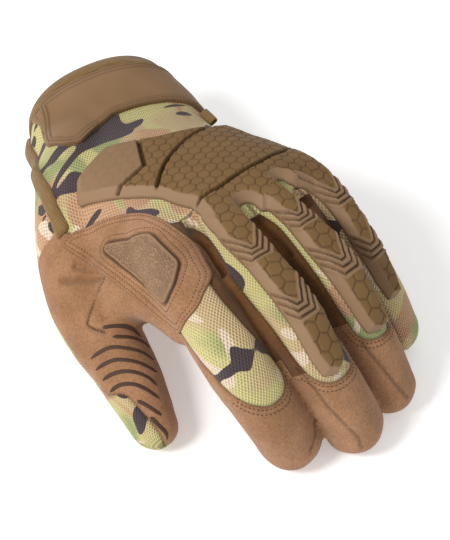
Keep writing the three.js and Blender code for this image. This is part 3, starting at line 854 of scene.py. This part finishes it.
def capsule(sides=6, rings=3):
    """A unit stitch along x: points and triangles."""
    angles = np.linspace(0, math.pi, rings + 2)[1:-1]
    co = [(-1, 0, 0)]
    for bow in angles:
        radius = math.sin(bow) ** 0.6
        co += [(-math.cos(bow), radius * math.cos(turn), radius * math.sin(turn))
               for turn in 2 * math.pi * np.arange(sides) / sides]
    co.append((1, 0, 0))
    faces = []
    last = len(co) - 1
    for j in range(sides):
        k = (j + 1) % sides
        faces.append((0, 1 + k, 1 + j))
        faces.append((last, last - sides + j, last - sides + k))
        for ring in range(rings - 1):
            a, b = 1 + ring * sides + j, 1 + ring * sides + k
            faces += [(a, b, b + sides), (a, b + sides, a + sides)]
    return np.array(co, float), np.array(faces)


def stitches(name, lines, pitch, length, width, lift):
    """One mesh with a short thread for each stitch along the lines."""
    reach = 0.8  # to each side of a stitch, for its direction
    unit_co, unit_faces = capsule()
    points, faces, start = [], [], 0
    for co, no in lines:
        steps = np.concatenate([[0], np.cumsum(np.linalg.norm(np.diff(co, axis=0), axis=1))])
        count = int(steps[-1] // pitch)
        if count < 1:
            continue
        at = (np.arange(count) + 0.5) * steps[-1] / count
        middle = np.stack([np.interp(at, steps, co[:, k]) for k in range(3)], 1)
        out = unit(np.stack([np.interp(at, steps, no[:, k]) for k in range(3)], 1))
        before = np.stack([np.interp(at - reach, steps, co[:, k]) for k in range(3)], 1)
        after = np.stack([np.interp(at + reach, steps, co[:, k]) for k in range(3)], 1)
        along = unit(after - before)
        side = unit(np.cross(out, along))
        for m, o, a, s in zip(middle, out, along, side):
            points.append(m + o * lift + unit_co[:, :1] * a * length / 2 + unit_co[:, 1:2] * s * width / 2
                          + unit_co[:, 2:] * o * width / 2)
            faces.append(unit_faces + start)
            start += len(unit_co)
    return made_object(name, np.concatenate(points), np.concatenate(faces), THREAD)


# Materials


class Shader:
    """A node material, with short calls for the nodes that it needs."""

    def __init__(self, name):
        self.material = bpy.data.materials.new(name)
        self.material.use_nodes = True
        self.nodes = self.material.node_tree.nodes
        self.links = self.material.node_tree.links
        self.surface = self.nodes["Principled BSDF"]
        self.place = self.add("ShaderNodeTexCoord").outputs["Object"]

    def add(self, kind, inputs=None, **settings):
        node = self.nodes.new(kind)
        for key, value in settings.items():
            setattr(node, key, value)
        for key, value in (inputs or {}).items():
            self.put(node.inputs[key], value)
        return node

    def put(self, socket, value):
        if isinstance(value, bpy.types.NodeSocket):
            self.links.new(value, socket)
        else:
            socket.default_value = value

    def set(self, **values):
        for key, value in values.items():
            self.put(self.surface.inputs[key.replace("_", " ")], value)

    def scaled(self, x, y=None, z=None, turn=(0, 0, 0), source=None):
        y = x if y is None else y
        z = x if z is None else z
        settings = {"Vector": source or self.place, "Scale": (x, y, z), "Rotation": turn}
        return self.add("ShaderNodeMapping", settings).outputs["Vector"]

    def noise(self, vector, scale=1.0, detail=2.0, roughness=0.5, distortion=0.0):
        node = self.add("ShaderNodeTexNoise", {"Vector": vector, "Scale": scale, "Detail": detail,
                                               "Roughness": roughness, "Distortion": distortion})
        return node.outputs["Fac"]

    def steps(self, value, *stops):
        """A ramp from 0 to 1, or of colours, through (place, colour or grey) stops."""
        node = self.add("ShaderNodeValToRGB", {"Fac": value})
        ramp_colours = node.color_ramp
        while len(ramp_colours.elements) < len(stops):
            ramp_colours.elements.new(0.5)
        for element, (place, colour) in zip(ramp_colours.elements, stops):
            element.position = place
            element.color = tuned(colour) if isinstance(colour, str) else (colour, colour, colour, 1)
        return node.outputs["Color"]

    def mix(self, share, a, b, kind="MIX"):
        node = self.add("ShaderNodeMix", data_type="RGBA", blend_type=kind)
        self.put(node.inputs["Factor"], share)
        self.put(node.inputs["A"], tuned(a) if isinstance(a, str) else a)
        self.put(node.inputs["B"], tuned(b) if isinstance(b, str) else b)
        return node.outputs["Result"]

    def maths(self, operation, a, b=0.0):
        node = self.add("ShaderNodeMath", operation=operation)
        self.put(node.inputs[0], a)
        self.put(node.inputs[1], b)
        return node.outputs[0]

    def bump(self, height, distance, strength=1.0):
        node = self.add("ShaderNodeBump", {"Height": height, "Distance": distance, "Strength": strength})
        return node.outputs["Normal"]

    def attribute(self, name, output="Vector"):
        return self.add("ShaderNodeAttribute", attribute_name=name).outputs[output]

    def shaded(self, colour):
        """The colour times the mesh's painted shade."""
        return self.mix(1.0, colour, self.attribute("shade", "Color"), "MULTIPLY")


def tuned(code):
    """A colour written as rrggbb, as linear light."""
    parts = [int(code[k:k + 2], 16) / 255 for k in (0, 2, 4)]
    return (*(c / 12.92 if c <= 0.04045 else ((c + 0.055) / 1.055) ** 2.4 for c in parts), 1.0)


def woven(shader, pitch=1.5):
    """Height of a fine knit from the cloth's own coordinates, 0 to 1."""
    cloth = shader.attribute("cloth")
    split = shader.add("ShaderNodeSeparateXYZ", {"Vector": cloth})
    turn = 2 * math.pi / pitch
    x = shader.maths("SINE", shader.maths("MULTIPLY", split.outputs["X"], turn))
    y = shader.maths("SINE", shader.maths("MULTIPLY", split.outputs["Y"], turn * 0.8))
    both = shader.maths("MULTIPLY", x, y)
    return shader.maths("MULTIPLY_ADD", both, 0.5)


def camouflage():
    s = Shader("camouflage_cloth")
    tan, sand, lime, green, cream, plum = "c99c76", "d2b687", "d3c886", "a2a86c", "e8d2b6", "4a3a3d"
    along = s.add("ShaderNodeSeparateXYZ", {"Vector": s.place}).outputs["Y"]
    fingers = s.steps(s.maths("MULTIPLY_ADD", along, 10.0), (0.3, 1.0), (0.6, 0.0))
    wide = s.noise(s.scaled(26, 15, 26, (0, 0, 0.3)), 1.0, 1.5, 0.4, 0.5)
    wide = s.maths("ADD", wide, s.maths("MULTIPLY", fingers, 0.04))
    base = s.steps(wide, (0.40, tan), (0.455, sand), (0.475, lime), (0.58, lime), (0.66, sand))
    # Scale, turn, detail, roughness and distortion of each layer's noise, how much less of it the fingers
    # have, where its edge begins and ends, and its colour
    layers = [
        ((34, 17, 30), -0.5, 1.5, 0.45, 0.7, 0.05, 0.545, 0.615, green),
        ((50, 20, 44), 0.7, 1.0, 0.4, 0.9, 0.04, 0.575, 0.605, tan),
        ((80, 24, 60), -0.6, 1.0, 0.4, 1.1, 0.0, 0.64, 0.655, cream),
        ((64, 46, 58), 0.35, 0.5, 0.4, 0.5, 0.0, 0.672, 0.679, plum),
        ((26, 72, 46), 0.75, 0.8, 0.4, 1.0, 0.3, 0.632, 0.639, plum),
    ]
    for scale, turn, detail, roughness, distortion, less, low, high, colour in layers:
        form = s.noise(s.scaled(*scale, (0, 0, turn)), 1.0, detail, roughness, distortion)
        if less:
            form = s.maths("SUBTRACT", form, s.maths("MULTIPLY", fingers, less))
        base = s.mix(s.steps(form, (low, 0.0), (high, 1.0)), base, colour)
    weave = woven(s)
    # The knit is darker in its hollows and lighter on its crests: painted shade and highlight.
    shade = s.steps(weave, (0.0, 0.62), (0.75, 1.10))
    colour = s.mix(1.0, base, shade, "MULTIPLY")
    s.set(Base_Color=s.shaded(colour), Roughness=0.85, Normal=s.bump(weave, 0.0007, 1.0))
    s.surface.inputs["Sheen Weight"].default_value = 0.1
    return s.material


def suede(name, light, dark):
    s = Shader(name)
    patches = s.noise(s.scaled(55), 1.0, 3, 0.55)
    nap = s.noise(s.scaled(900), 1.0, 3, 0.6)
    colour = s.mix(s.steps(patches, (0.35, 0.0), (0.65, 1.0)), dark, light)
    colour = s.mix(1.0, colour, s.steps(nap, (0.3, 0.76), (0.7, 1.16)), "MULTIPLY")
    grain = s.noise(s.scaled(1500), 1.0, 2, 0.6)
    s.set(Base_Color=s.shaded(colour), Roughness=0.95, Normal=s.bump(grain, 0.0004, 0.8))
    s.surface.inputs["Sheen Weight"].default_value = 0.12
    s.surface.inputs["Sheen Roughness"].default_value = 0.6
    s.surface.inputs["Specular IOR Level"].default_value = 0.2
    return s.material


def rubber(name, light, dark, grain=0.00006, rough=0.55, slope_tone_and_light=None):
    """Moulded rubber, with a lighter colour for its slopes where the mesh's top value is 0: partly the
    rubber's own tone, partly painted light.
    """
    s = Shader(name)
    patches = s.noise(s.scaled(40), 1.0, 2, 0.5)
    colour = s.mix(s.steps(patches, (0.3, 0.0), (0.7, 1.0)), dark, light)
    if slope_tone_and_light:
        colour = s.mix(s.attribute("top", "Fac"), slope_tone_and_light, colour)
    fine = s.noise(s.scaled(1600), 1.0, 2, 0.6)
    s.set(Base_Color=s.shaded(colour), Roughness=rough, Normal=s.bump(fine, grain, 0.5))
    s.surface.inputs["Specular IOR Level"].default_value = 0.3
    return s.material


def webbing():
    s = Shader("ribbed_webbing")
    cloth = s.attribute("cloth")
    split = s.add("ShaderNodeSeparateXYZ", {"Vector": cloth})
    rib = s.maths("SINE", s.maths("MULTIPLY", split.outputs["X"], 2 * math.pi / 0.95))
    cross = s.maths("SINE", s.maths("MULTIPLY", split.outputs["Y"], 2 * math.pi / 0.9))
    weave = s.maths("ADD", s.maths("MULTIPLY", rib, 0.38), s.maths("MULTIPLY", cross, 0.12))
    weave = s.maths("ADD", weave, 0.5)
    streak = s.noise(s.scaled(2.2, 0.12, 1, source=cloth), 1.0, 2, 0.6)
    colour = s.mix(s.steps(streak, (0.35, 0.0), (0.65, 1.0)), "745428", "94713a")
    # The ribs are darker in their hollows and lighter on their crests: painted shade and highlight.
    colour = s.mix(1.0, colour, s.steps(weave, (0.0, 0.72), (1.0, 1.12)), "MULTIPLY")
    s.set(Base_Color=colour, Roughness=0.85, Normal=s.bump(weave, 0.0004, 0.8))
    s.surface.inputs["Sheen Weight"].default_value = 0.2
    return s.material


def thread(name, colour):
    s = Shader(name)
    fine = s.noise(s.scaled(2500), 1.0, 1, 0.5)
    s.set(Base_Color=s.mix(fine, colour, "6b4d31"), Roughness=0.8)
    return s.material


CAMO = camouflage()
SUEDE = suede("brown_suede", "a67a58", "936a48")
# A darker copy of the suede for the strips between the fingers: painted shade where they lie between the
# fingers.
SUEDE_PAINTED_SHADE = suede("brown_suede_painted_shade", "6e4823", "5e3a19")
# The last colour is for the slopes: partly the rubber's own tone, partly painted light.
RUBBER = rubber("moulded_rubber", "7e6039", "735530", 0.00006, 0.6, "8f7154")
RUBBER_PATCH = rubber("patch_rubber", "8c6c4e", "80613f", 0.00006, 0.6)
RUBBER_PAD = rubber("pebbled_rubber", "98775a", "8c6c4f", 0.00010, 0.55)
WEBBING = webbing()
THREAD = thread("brown_thread", "3e2a18")
GRIP = rubber("grip_print", "4e382c", "443026", 0.0001, 0.7)


# The shell's panels

points, faces = shell()
normals = normals_of(points, faces)
rim = PALM.centre[0]
open_end = (points - rim) @ PALM.along[0]
fields = panel_fields(points)
camo_names = ["index_back", "middle_back", "ring_back", "pinky_back", "thumb_back", "hand_back"]
forked = np.max([fields[name] for name in FORKS], axis=0)
camo_field = soft_union(
    np.max([fields[name] for name in camo_names[:-1]], axis=0),
    np.minimum(fields["hand_back"], -forked),
    5.0,
)
finger_here = {name: TUBES[name].locate(points) for name in TUBES}
hand_here = PALM.locate(points)
weave_x, weave_y = hand_here["u"].copy(), hand_here["t"] * PALM.length
closest = np.full(len(points), 1.2)
for name in (*FINGERS, "thumb"):
    here = finger_here[name]
    mine = (here["rho"] < closest) & (here["t"] > (0.5 if name == "thumb" else 0.2))
    weave_x = np.where(mine, here["angle"] * here["degree"], weave_x)
    weave_y = np.where(mine, here["along"], weave_y)
    closest = np.where(mine, here["rho"], closest)
cloth = np.stack([weave_x, weave_y, np.zeros(len(points))], 1)

sewn = np.full(len(points), 99.0)
for line in SEAMS:
    sewn = np.minimum(sewn, line_distance(points, line)[0])
for name, line in CAP_SEAMS.items():
    line = curve_through(TUBES[name].unrolled(line))
    on_digit = finger_here[name]["rho"] < 1.1
    sewn = np.minimum(sewn, np.where(on_digit, line_distance(finger_here[name]["flat"], line)[0], 99.0))
base = Skin(faces, co=points, no=normals, cloth=cloth, camo=camo_field, sewn=sewn)
taken = np.full(len(points), -1e3)
SLOTS = [material.get("slot") for material in frame["record"]["materials"]]


def slot_for(word):
    return next((slot for slot in SLOTS if word in slot), None)


# Seams are grooves, with painted shade along them
SEAM_DEPTH = 0.6
SEAM_WIDTH = 1.1
SEAM_PAINTED_SHADE = 0.5
SEAM_PAINTED_SHADE_WIDTH = 0.75
CAP_STITCH_LEVELS = (-1.6, -3.8)  # rows beside the camouflage's edge

for name, field in [*fields.items(), ("palm", np.full(len(points), 1e3))]:
    own = np.minimum(field, -taken)
    taken = np.maximum(taken, field)
    skin = Skin(base.faces, **base.values, seam=own).cut(np.minimum(own, open_end)).biggest()
    if name in camo_names or name == "cuff_under":
        kind, look = "camo", CAMO
    else:
        # The strips between the fingers take the darker suede: painted shade.
        kind, look = "suede", SUEDE_PAINTED_SHADE if "fourchette" in name else SUEDE
    near = np.abs(skin.camo) if name != "cuff_under" else np.minimum(np.abs(skin.camo), np.abs(skin.seam))
    near = np.minimum(near, skin.sewn)
    groove = -SEAM_DEPTH * np.exp(-(near / SEAM_WIDTH) ** 2)
    # Painted shade along the seams and the camouflage's edges.
    shade = 1 - SEAM_PAINTED_SHADE * np.exp(-(near / SEAM_PAINTED_SHADE_WIDTH) ** 2)
    outer = skin.co + skin.no * groove[:, None]
    inner = skin.co - skin.no * WALL
    replaced = [name] if name in frame["nodes"] else []
    piece(name + "_cloth", skin, outer, inner, look, replaced, slot_for(kind), cloth=skin.cloth, shade=shade)
    if name.endswith("_cap"):
        rows = [line for level in CAP_STITCH_LEVELS for line in level_lines(skin, outer, skin.camo, level)]
        stitches(name + "_stitches", rows, pitch=1.8, length=1.2, width=0.5, lift=0.05)

skin_tree = BVHTree.FromPolygons(points.tolist(), faces.tolist())


def laid(line, count=60):
    """A line through points, laid on the shell: places and ways out."""
    found = [skin_tree.find_nearest(Vector(p)) for p in curve_through(line, count)]
    return np.array([tuple(hit[0]) for hit in found]), np.array([tuple(hit[1]) for hit in found])


stitches("thumb_seam_stitches", [laid(line) for line in SEAMS], pitch=1.6, length=1.2, width=0.4, lift=-0.4)


# Overlays


def rounded_edge(inside, height, radius):
    """Height of a layer with a rounded edge, at this distance inside its edge."""
    s = np.clip(inside / radius, 0, 1)
    return height * np.sqrt(np.maximum(0, 1 - (1 - s) ** 2))


def bell(distance, width):
    """1 at distance 0, falling off smoothly."""
    return np.exp(-(distance / width) ** 2)


def overlay(name, skin, height, foot, look, kind, nodes, **attributes):
    """A layer on the shell, with its outside at height and its inside at foot."""
    top = skin.co + skin.no * height[:, None]
    piece(name, skin, top, skin.co + skin.no * foot, look, nodes, slot_for(kind), **attributes)
    return top


def region(field, levels, smooth=0):
    """The base skin where field(points) is positive, with each triangle split levels times."""
    rough = field(base.co)
    near = base.cut(rough + 1.5, snap=0.0)
    near = near.finer(levels)
    if smooth:
        near.values["co"] = relaxed(near.co, near.faces, smooth, 0.5)
    near.values["no"] = normals_of(near.co, near.faces)
    near.values["inside"] = field(near.co)
    return near.cut(near.inside).biggest()


SADDLE_HEIGHT = 57  # least height in its view, above the far side of the hand


def saddle_field(points):
    view = seen(points, SADDLE_VIEW)
    return np.minimum(outline_field(view[:, :2], SADDLE, 5), view[:, 2] - SADDLE_HEIGHT)


def pad_field(points):
    view = seen(points, SADDLE_VIEW)
    return np.minimum(outline_field(view[:, :2], PAD, 3), view[:, 2] - SADDLE_HEIGHT)


patch = region(saddle_field, 1, smooth=2)
edge = rounded_edge(patch.inside, 0.8, 1.2)
pad_inside = pad_field(patch.co)
rows_at = (1.6, 3.6)
pad_row = -3.0
dents = sum(0.2 * bell(patch.inside - level, 0.5) for level in rows_at)
dents = dents + 0.22 * bell(pad_inside - pad_row, 0.5)
puff = 0.9 * ramp(patch.inside, 4, 10)
height = 0.15 + edge - dents + puff - 1.1 * bell(pad_inside, 0.9)
# Painted shade along the patch's edge and round the pad.
shade = 1 - 0.45 * bell(patch.inside, 0.5) - 0.6 * bell(pad_inside + 0.4, 0.7)
patch_top = overlay("saddle_patch_suede", patch, height, 0.02, SUEDE, "suede", ["saddle_patch"],
                    cloth=patch.cloth, shade=shade)
rows_found = [line for level in rows_at for line in level_lines(patch, patch_top, patch.inside, level)]
rows_found += level_lines(patch, patch_top, pad_inside, pad_row)
stitches("saddle_patch_stitches", rows_found, pitch=1.6, length=0.9, width=0.45, lift=0.03)

PEBBLES = 2000
pad = region(pad_field, 2, smooth=40)
rng = np.random.default_rng(5)
seeds = rng.uniform((-12, -104), (22, -44), (PEBBLES, 2))
flat = seen(pad.co, SADDLE_VIEW)[:, :2]
first = np.full(len(flat), np.inf)
second = np.full(len(flat), np.inf)
for start in range(0, len(seeds), 200):
    distance = np.linalg.norm(flat[:, None] - seeds[None, start:start + 200], axis=2)
    distance.sort(axis=1)
    both = np.sort(np.stack([first, second, distance[:, 0], distance[:, 1]], 1), axis=1)
    first, second = both[:, 0], both[:, 1]
pebble = ramp(second - first, 0.0, 0.45)
inner = ramp(pad.inside, 0.8, 1.6)
height = 0.5 + rounded_edge(pad.inside, 2.2, 0.9) + 0.34 * (pebble - 1) * inner
# Painted shade at the pad's edge and in the gaps between its pebbles.
shade = 1 - 0.55 * bell(pad.inside, 0.45) - 0.36 * (1 - pebble) * inner
overlay("saddle_pad_rubber", pad, height, 0.3, RUBBER_PAD, "rubber", ["saddle_pad"], shade=shade)


def arm_places(name, points):
    """Distances inside an arm's edge, along it and across it from its middle."""
    here = TUBES[name].locate(points)
    table = np.array(ARMS[name], float)
    middle = np.interp(here["t"], table[:, 0], table[:, 1])
    half = np.interp(here["t"], table[:, 0], table[:, 2])
    across = (here["angle"] - middle) * here["degree"]
    along = here["along"]
    first, last = TUBES[name].at(table[[0, -1], 0])
    inside = np.min([
        half * here["degree"] - np.abs(across),
        along - first,
        last - along - ARM_POINTS[name] * np.abs(across),
        (1.3 - here["rho"]) * 15,
    ], axis=0)
    return inside, along, across, here


def plate_field(points):
    return np.minimum(outline_field(points[:, :2], GUARD, 2.5), upper_half(points))


def guard_field(points):
    arms = np.max([arm_places(name, points)[0] for name in ARMS], axis=0)
    return soft_union(plate_field(points), arms, 3.0)


def hex_edge(x, y, pitch):
    """Distance to the nearest side of a honeycomb's cell."""
    cell = np.array([pitch, pitch * math.sqrt(3)])
    p = np.stack([x, y], 1)
    a = np.mod(p, cell) - cell / 2
    b = np.mod(p + cell / 2, cell) - cell / 2
    d = np.where((np.linalg.norm(a, axis=1) < np.linalg.norm(b, axis=1))[:, None], a, b)
    ways = np.array([(1, 0), (0.5, math.sqrt(0.75)), (-0.5, math.sqrt(0.75))])
    return pitch / 2 - np.abs(d @ ways.T).max(1)


guard = region(guard_field, 1, smooth=12)
plate = plate_field(guard.co)
arm_inside = np.full(len(plate), -1e3)
arm_bevel = np.full(len(plate), BEVEL)
near_side, far_side = ARM_BEVELS
for name in ARMS:
    inside, along, across, here = arm_places(name, guard.co)
    width = near_side - (near_side - far_side) * ramp(across, -2, 2)
    arm_bevel = np.where(inside > arm_inside, width, arm_bevel)
    arm_inside = np.maximum(arm_inside, inside)
bevel = BEVEL + (arm_bevel - BEVEL) * ramp(arm_inside - plate, -3, 2)
height = GUARD_BORDER * ramp(guard.inside, 0.0, 0.3)
height = height + GUARD_RISE * np.clip((guard.inside - 0.3) / bevel, 0, 1)
flat_top = ramp(guard.inside - bevel, 0.1, 0.6)
# Painted shade along the guard's edge.
shade = 1 - 0.35 * bell(guard.inside, 0.35)
best = plate.copy()
x, y = guard.co[:, 0], guard.co[:, 1]
hexes = hex_edge(x * 0.9 + y * 0.35, y * 0.9 - x * 0.35, HEX_PITCH)
plain = 1 - 0.75 * ramp(outline_field(guard.co[:, :2], LEFT_PLATE), -1, 1)
for name in ARMS:
    inside, along, across, here = arm_places(name, guard.co)
    arm_hexes = hex_edge(across, along, ARM_HEX_PITCH)
    on_arm = (inside > best) & (here["t"] > 0.27)
    hexes = np.where(on_arm, arm_hexes, hexes)
    best = np.maximum(best, inside)
    near_arm = ramp(inside, -0.6, 0.3) * (here["rho"] < 1.3)
    for t, angle in CHEVRONS[name]:
        x = (here["angle"] - angle) * here["degree"]
        y = along - TUBES[name].at(t)
        behind = np.maximum(y, CHEVRON_WAY[0] * (np.abs(x) - CHEVRON_TIP) + CHEVRON_WAY[1] * y)
        lines = sum(bell(behind - CHEVRON_PITCH * k, 0.42) for k in range(3))
        bare = 1 - ramp(np.abs(behind - CHEVRON_PITCH), 3.2, 3.8)
        flat_top = flat_top * (1 - bare * near_arm)
        cut_in = near_arm * ramp(guard.inside, 0.2, 1.2)
        height = height + cut_in * (0.5 * bare - CHEVRON_DEPTH * lines)
        # Painted shade in the chevrons' grooves, darker towards the apex and far wing, away from the light.
        shade = shade * (1 - cut_in * lines * (0.25 + 0.4 * ramp(x, -4.5, -2)))
in_hex = flat_top * (1 - ramp(hexes, 0.12, 0.5)) * plain
height = height - HEX_DEPTH * in_hex
# Painted shade in the honeycomb's grooves.
shade = shade * (1 - 0.3 * in_hex)
for groove in [ANGLED_GROOVE, *map(curve_through, GROOVES)]:
    distance, place = line_distance(guard.co[:, :2], groove)
    taper = ramp(place, 0.0, 0.06) * ramp(1 - place, 0.0, 0.06)
    cut_in = (1 - ramp(distance, 0.45, 1.25)) * (0.3 + 0.7 * taper) * ramp(guard.inside, 0.6, 2.0)
    height = height - GROOVE_DEPTH * cut_in
    # Painted shade in the grooves.
    shade = shade * (1 - 0.6 * cut_in)
# top is 1 on the flat top. The bevels, the chevrons' ground and the plain left plate take the lighter slope
# colour, which is partly the rubber's own tone and partly painted light.
overlay("knuckle_guard_rubber", guard, 0.2 + height, 0.05, RUBBER, "rubber", ["knuckle_guard"],
        top=flat_top * (0.1 + 0.9 * plain), shade=shade)


RIM_END = 0.049  # place along the hand where the cuff's binding ends
STRAP_END = 0.36


def strap_field(points):
    hand = PALM.locate(points)
    return np.min([
        outline_field(points[:, :2], STRAP, 2),
        upper_half(points),
        (hand["t"] - RIM_END) * PALM.length,
        (STRAP_END - hand["t"]) * PALM.length,
    ], axis=0)


STRAP_PATCH_HEIGHT = 38  # of its ends round the wrist


def strap_patch_field(points):
    return np.min([
        strap_field(points) + 0.3,
        outline_field(points[:, :2], STRAP_PATCH, 2.5),
        points[:, 2] - STRAP_PATCH_HEIGHT,
    ], axis=0)


strap = region(strap_field, 0, smooth=1)
overlay("wrist_strap_webbing", strap, 0.25 + rounded_edge(strap.inside, 1.3, 0.8), 0.02, WEBBING, "webbing",
        ["wrist_strap"], cloth=strap.cloth)
label = region(strap_patch_field, 1, smooth=2)
border_line = bell(label.inside - 3.2, 0.4)
sewn_at = 1.5
sewn_line = bell(label.inside - sewn_at, 0.35)
height = 1.3 + rounded_edge(label.inside, 1.7, 0.7)
height = height - 0.5 * border_line - 0.3 * ramp(label.inside, 3.2, 4.2) - 0.3 * sewn_line
# Painted shade in the border's groove, along the edge and along the row of stitches.
shade = 1 - 0.3 * bell(label.inside - 3.2, 0.45) - 0.35 * bell(label.inside, 0.35)
shade = shade * (1 - 0.3 * sewn_line)
label_top = overlay("strap_patch_rubber", label, height, 1.2, RUBBER_PATCH, "rubber", ["strap_patch"],
                    shade=shade)
stitches("strap_patch_stitches", level_lines(label, label_top, label.inside, sewn_at), pitch=1.7, length=1.0,
         width=0.4, lift=0.0)


SLIT_HEIGHT = 20  # least height in its view, above the far side of the hand


def slit_field(points):
    view = seen(points, SLIT_VIEW)
    hand = PALM.locate(points)
    return np.min([
        outline_field(view[:, :2], SLIT, 2),
        view[:, 2] - SLIT_HEIGHT,
        (hand["t"] - RIM_END) * PALM.length,
    ], axis=0)


slit = region(slit_field, 1, smooth=4)
ribs = seen(slit.co, SLIT_VIEW) * (1, 1, 0)
overlay("slit_binding_webbing", slit, 0.2 + rounded_edge(slit.inside, 2.0, 2.6), 0.02, WEBBING, "webbing",
        ["slit_binding"], cloth=ribs)


STRIPE_HALF_WIDTH = 0.95


def stripe_field(points):
    tube = TUBES["thumb"]
    here = tube.locate(points)
    round_on = np.stack([here["along"], np.mod(here["angle"], 360) * here["degree"]], 1)
    best = np.full(len(points), -1e3)
    for stripe in STRIPES:
        distance, place = line_distance(round_on, curve_through(tube.unrolled(stripe), 16))
        taper = np.minimum(1, 6 * np.minimum(place, 1 - place) + 0.35)
        best = np.maximum(best, STRIPE_HALF_WIDTH * taper - distance)
    return np.minimum(best, (1.1 - here["rho"]) * 15)


stripes = region(stripe_field, 2)
overlay("thumb_grip_stripes", stripes, 0.1 + rounded_edge(stripes.inside, 0.3, 0.5), -0.1, GRIP, "rubber", [])


# Binding folded over the cuff's rim: its section from the rim inwards, and out of the cloth
BINDING_SECTION = [
    (7.8, 0.15), (7.7, 1.0), (7.0, 1.55), (4, 1.8), (1, 1.75), (-0.6, 1.2), (-1.5, 0.2), (-1.8, -0.9),
    (-1.5, -2.0), (-0.6, -3.0), (1, -3.5), (4, -3.5), (7.0, -3.3), (7.6, -2.6), (7.6, -1.9),
]
rings = []
for on, out in BINDING_SECTION:
    t = max(0.0, on) / PALM.length
    rings.append(hand_ring(t, out, 220, beyond=min(0.0, on)))
rings = np.array(rings)
sides = rings.shape[1]
count = len(rings)
tube_faces = []
for i in range(count):
    for j in range(sides):
        a, b = i * sides + j, i * sides + (j + 1) % sides
        c, d = ((i + 1) % count) * sides + j, ((i + 1) % count) * sides + (j + 1) % sides
        tube_faces += [(a, b, d), (a, d, c)]
round_rim = np.linalg.norm(np.roll(rings, -1, axis=1) - rings, axis=2)[4].cumsum()
ribs = np.array([[(on, round_rim[j], 0.0) for j in range(sides)] for on, _ in BINDING_SECTION], float)
binding = made_object("cuff_binding_webbing", rings.reshape(-1, 3), np.array(tube_faces), WEBBING,
                      cloth=ribs.reshape(-1, 3))
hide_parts("cuff_binding")


# Loop of webbing at the outer end of the strap: its middle line, out of the wrist and across
LOOP_LINE = [
    (-1.5, -0.9), (0.3, -1.2), (1.8, -1.3), (3.0, -0.9), (3.4, 0.1), (3.0, 1.1), (1.8, 1.4), (0.3, 1.1),
    (-1.5, 0.8),
]
LOOP_FOOT = np.array([42.5, -2.5, 47.1])
LOOP_OUT = np.array([0.923, 0.0, 0.385])
LOOP_ACROSS = np.array([-0.385, 0.0, 0.923])
LOOP_WIDTH = 4.4
LOOP_THICKNESS = 0.45


def fans(faces):
    """Faces of any number of corners as triangles."""
    return np.array([(face[0], face[k], face[k + 1]) for face in faces for k in range(1, len(face) - 1)])


def loop_of_webbing():
    line = curve_through(LOOP_LINE, 40)
    ahead = unit(np.gradient(line, axis=0))
    turn = 2 * math.pi * np.arange(20) / 20
    wide = LOOP_WIDTH * power(np.cos(turn), 0.4)
    high = LOOP_THICKNESS * power(np.sin(turn), 0.6)
    rings, ribs = [], []
    for k, (p, a) in enumerate(zip(line, ahead)):
        centre = LOOP_FOOT + p[0] * LOOP_OUT + p[1] * LOOP_ACROSS
        normal = -a[1] * LOOP_OUT + a[0] * LOOP_ACROSS
        rings.append(centre + wide[:, None] * np.array([0.0, 1.0, 0.0]) + high[:, None] * normal)
        ribs.append(np.stack([wide, np.full(20, 0.5 * k), np.zeros(20)], 1))
    co, faces = loft(np.array(rings))
    made = made_object("strap_loop_webbing", co, fans(faces), WEBBING, cloth=np.concatenate(ribs))
    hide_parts("strap_loop")


loop_of_webbing()


# Camera, floor and light
TARGET = np.array([8.5, -14.7, 23.6])
VIEW_BACK = unit(np.array([-0.3795, -0.5204, 0.7649]))
DISTANCE = 700.0
FOCAL = 1490.5  # in pixels of the picture
PICTURE = (450, 540)
RIGHT = unit(np.cross(UP, VIEW_BACK))
PICTURE_UP = np.cross(VIEW_BACK, RIGHT)
AIM_PIXEL = (223.7, 277.2)  # where the target shows in the picture

camera = bpy.data.objects.new("camera", bpy.data.cameras.new("camera"))
bpy.context.scene.collection.objects.link(camera)
camera.data.lens = FOCAL / max(PICTURE) * camera.data.sensor_width
per_pixel = DISTANCE / FOCAL
aim = TARGET + RIGHT * (PICTURE[0] / 2 - AIM_PIXEL[0]) * per_pixel
aim = aim + PICTURE_UP * (AIM_PIXEL[1] - PICTURE[1] / 2) * per_pixel
eye = TARGET + VIEW_BACK * DISTANCE
camera.location = Vector(eye * MM)
camera.rotation_mode = "QUATERNION"
camera.rotation_quaternion = Vector(aim - eye).to_track_quat("-Z", "Y")
camera.data.clip_start = 0.01
camera.data.clip_end = 10
bpy.context.scene.camera = camera


def area_light(name, place, size, power_watts):
    light = bpy.data.lights.new(name, "AREA")
    light.shape = "DISK"
    light.size = size
    light.energy = power_watts
    lamp = bpy.data.objects.new(name, light)
    bpy.context.scene.collection.objects.link(lamp)
    lamp.location = Vector(place)
    lamp.rotation_mode = "QUATERNION"
    lamp.rotation_quaternion = (Vector((0, 0, 0.03)) - Vector(place)).to_track_quat("-Z", "Y")


area_light("key", (-0.9, 0.0, 0.95), 0.4, 11.5)

floor_mesh = bpy.data.meshes.new("floor")
FLOOR_HALF = 6.0
corners = [(x * FLOOR_HALF, y * FLOOR_HALF, 0) for x, y in ((-1, -1), (1, -1), (1, 1), (-1, 1))]
floor_mesh.from_pydata(corners, [], [(0, 1, 2, 3)])
floor = bpy.data.objects.new("floor", floor_mesh)
bpy.context.scene.collection.objects.link(floor)
floor.location.z = -0.0003
paper = Shader("white_floor")
paper.set(Base_Color=(0.95, 0.95, 0.95, 1), Roughness=0.9, Emission_Color=(1, 1, 1, 1))
paper.set(Emission_Strength=0.31)
floor_mesh.materials.append(paper.material)

world = bpy.data.worlds.new("world")
world.use_nodes = True
world.node_tree.nodes["Background"].inputs["Color"].default_value = (1, 1, 1, 1)
world.node_tree.nodes["Background"].inputs["Strength"].default_value = 0.58
bpy.context.scene.world = world
bpy.context.scene.view_settings.view_transform = "Standard"
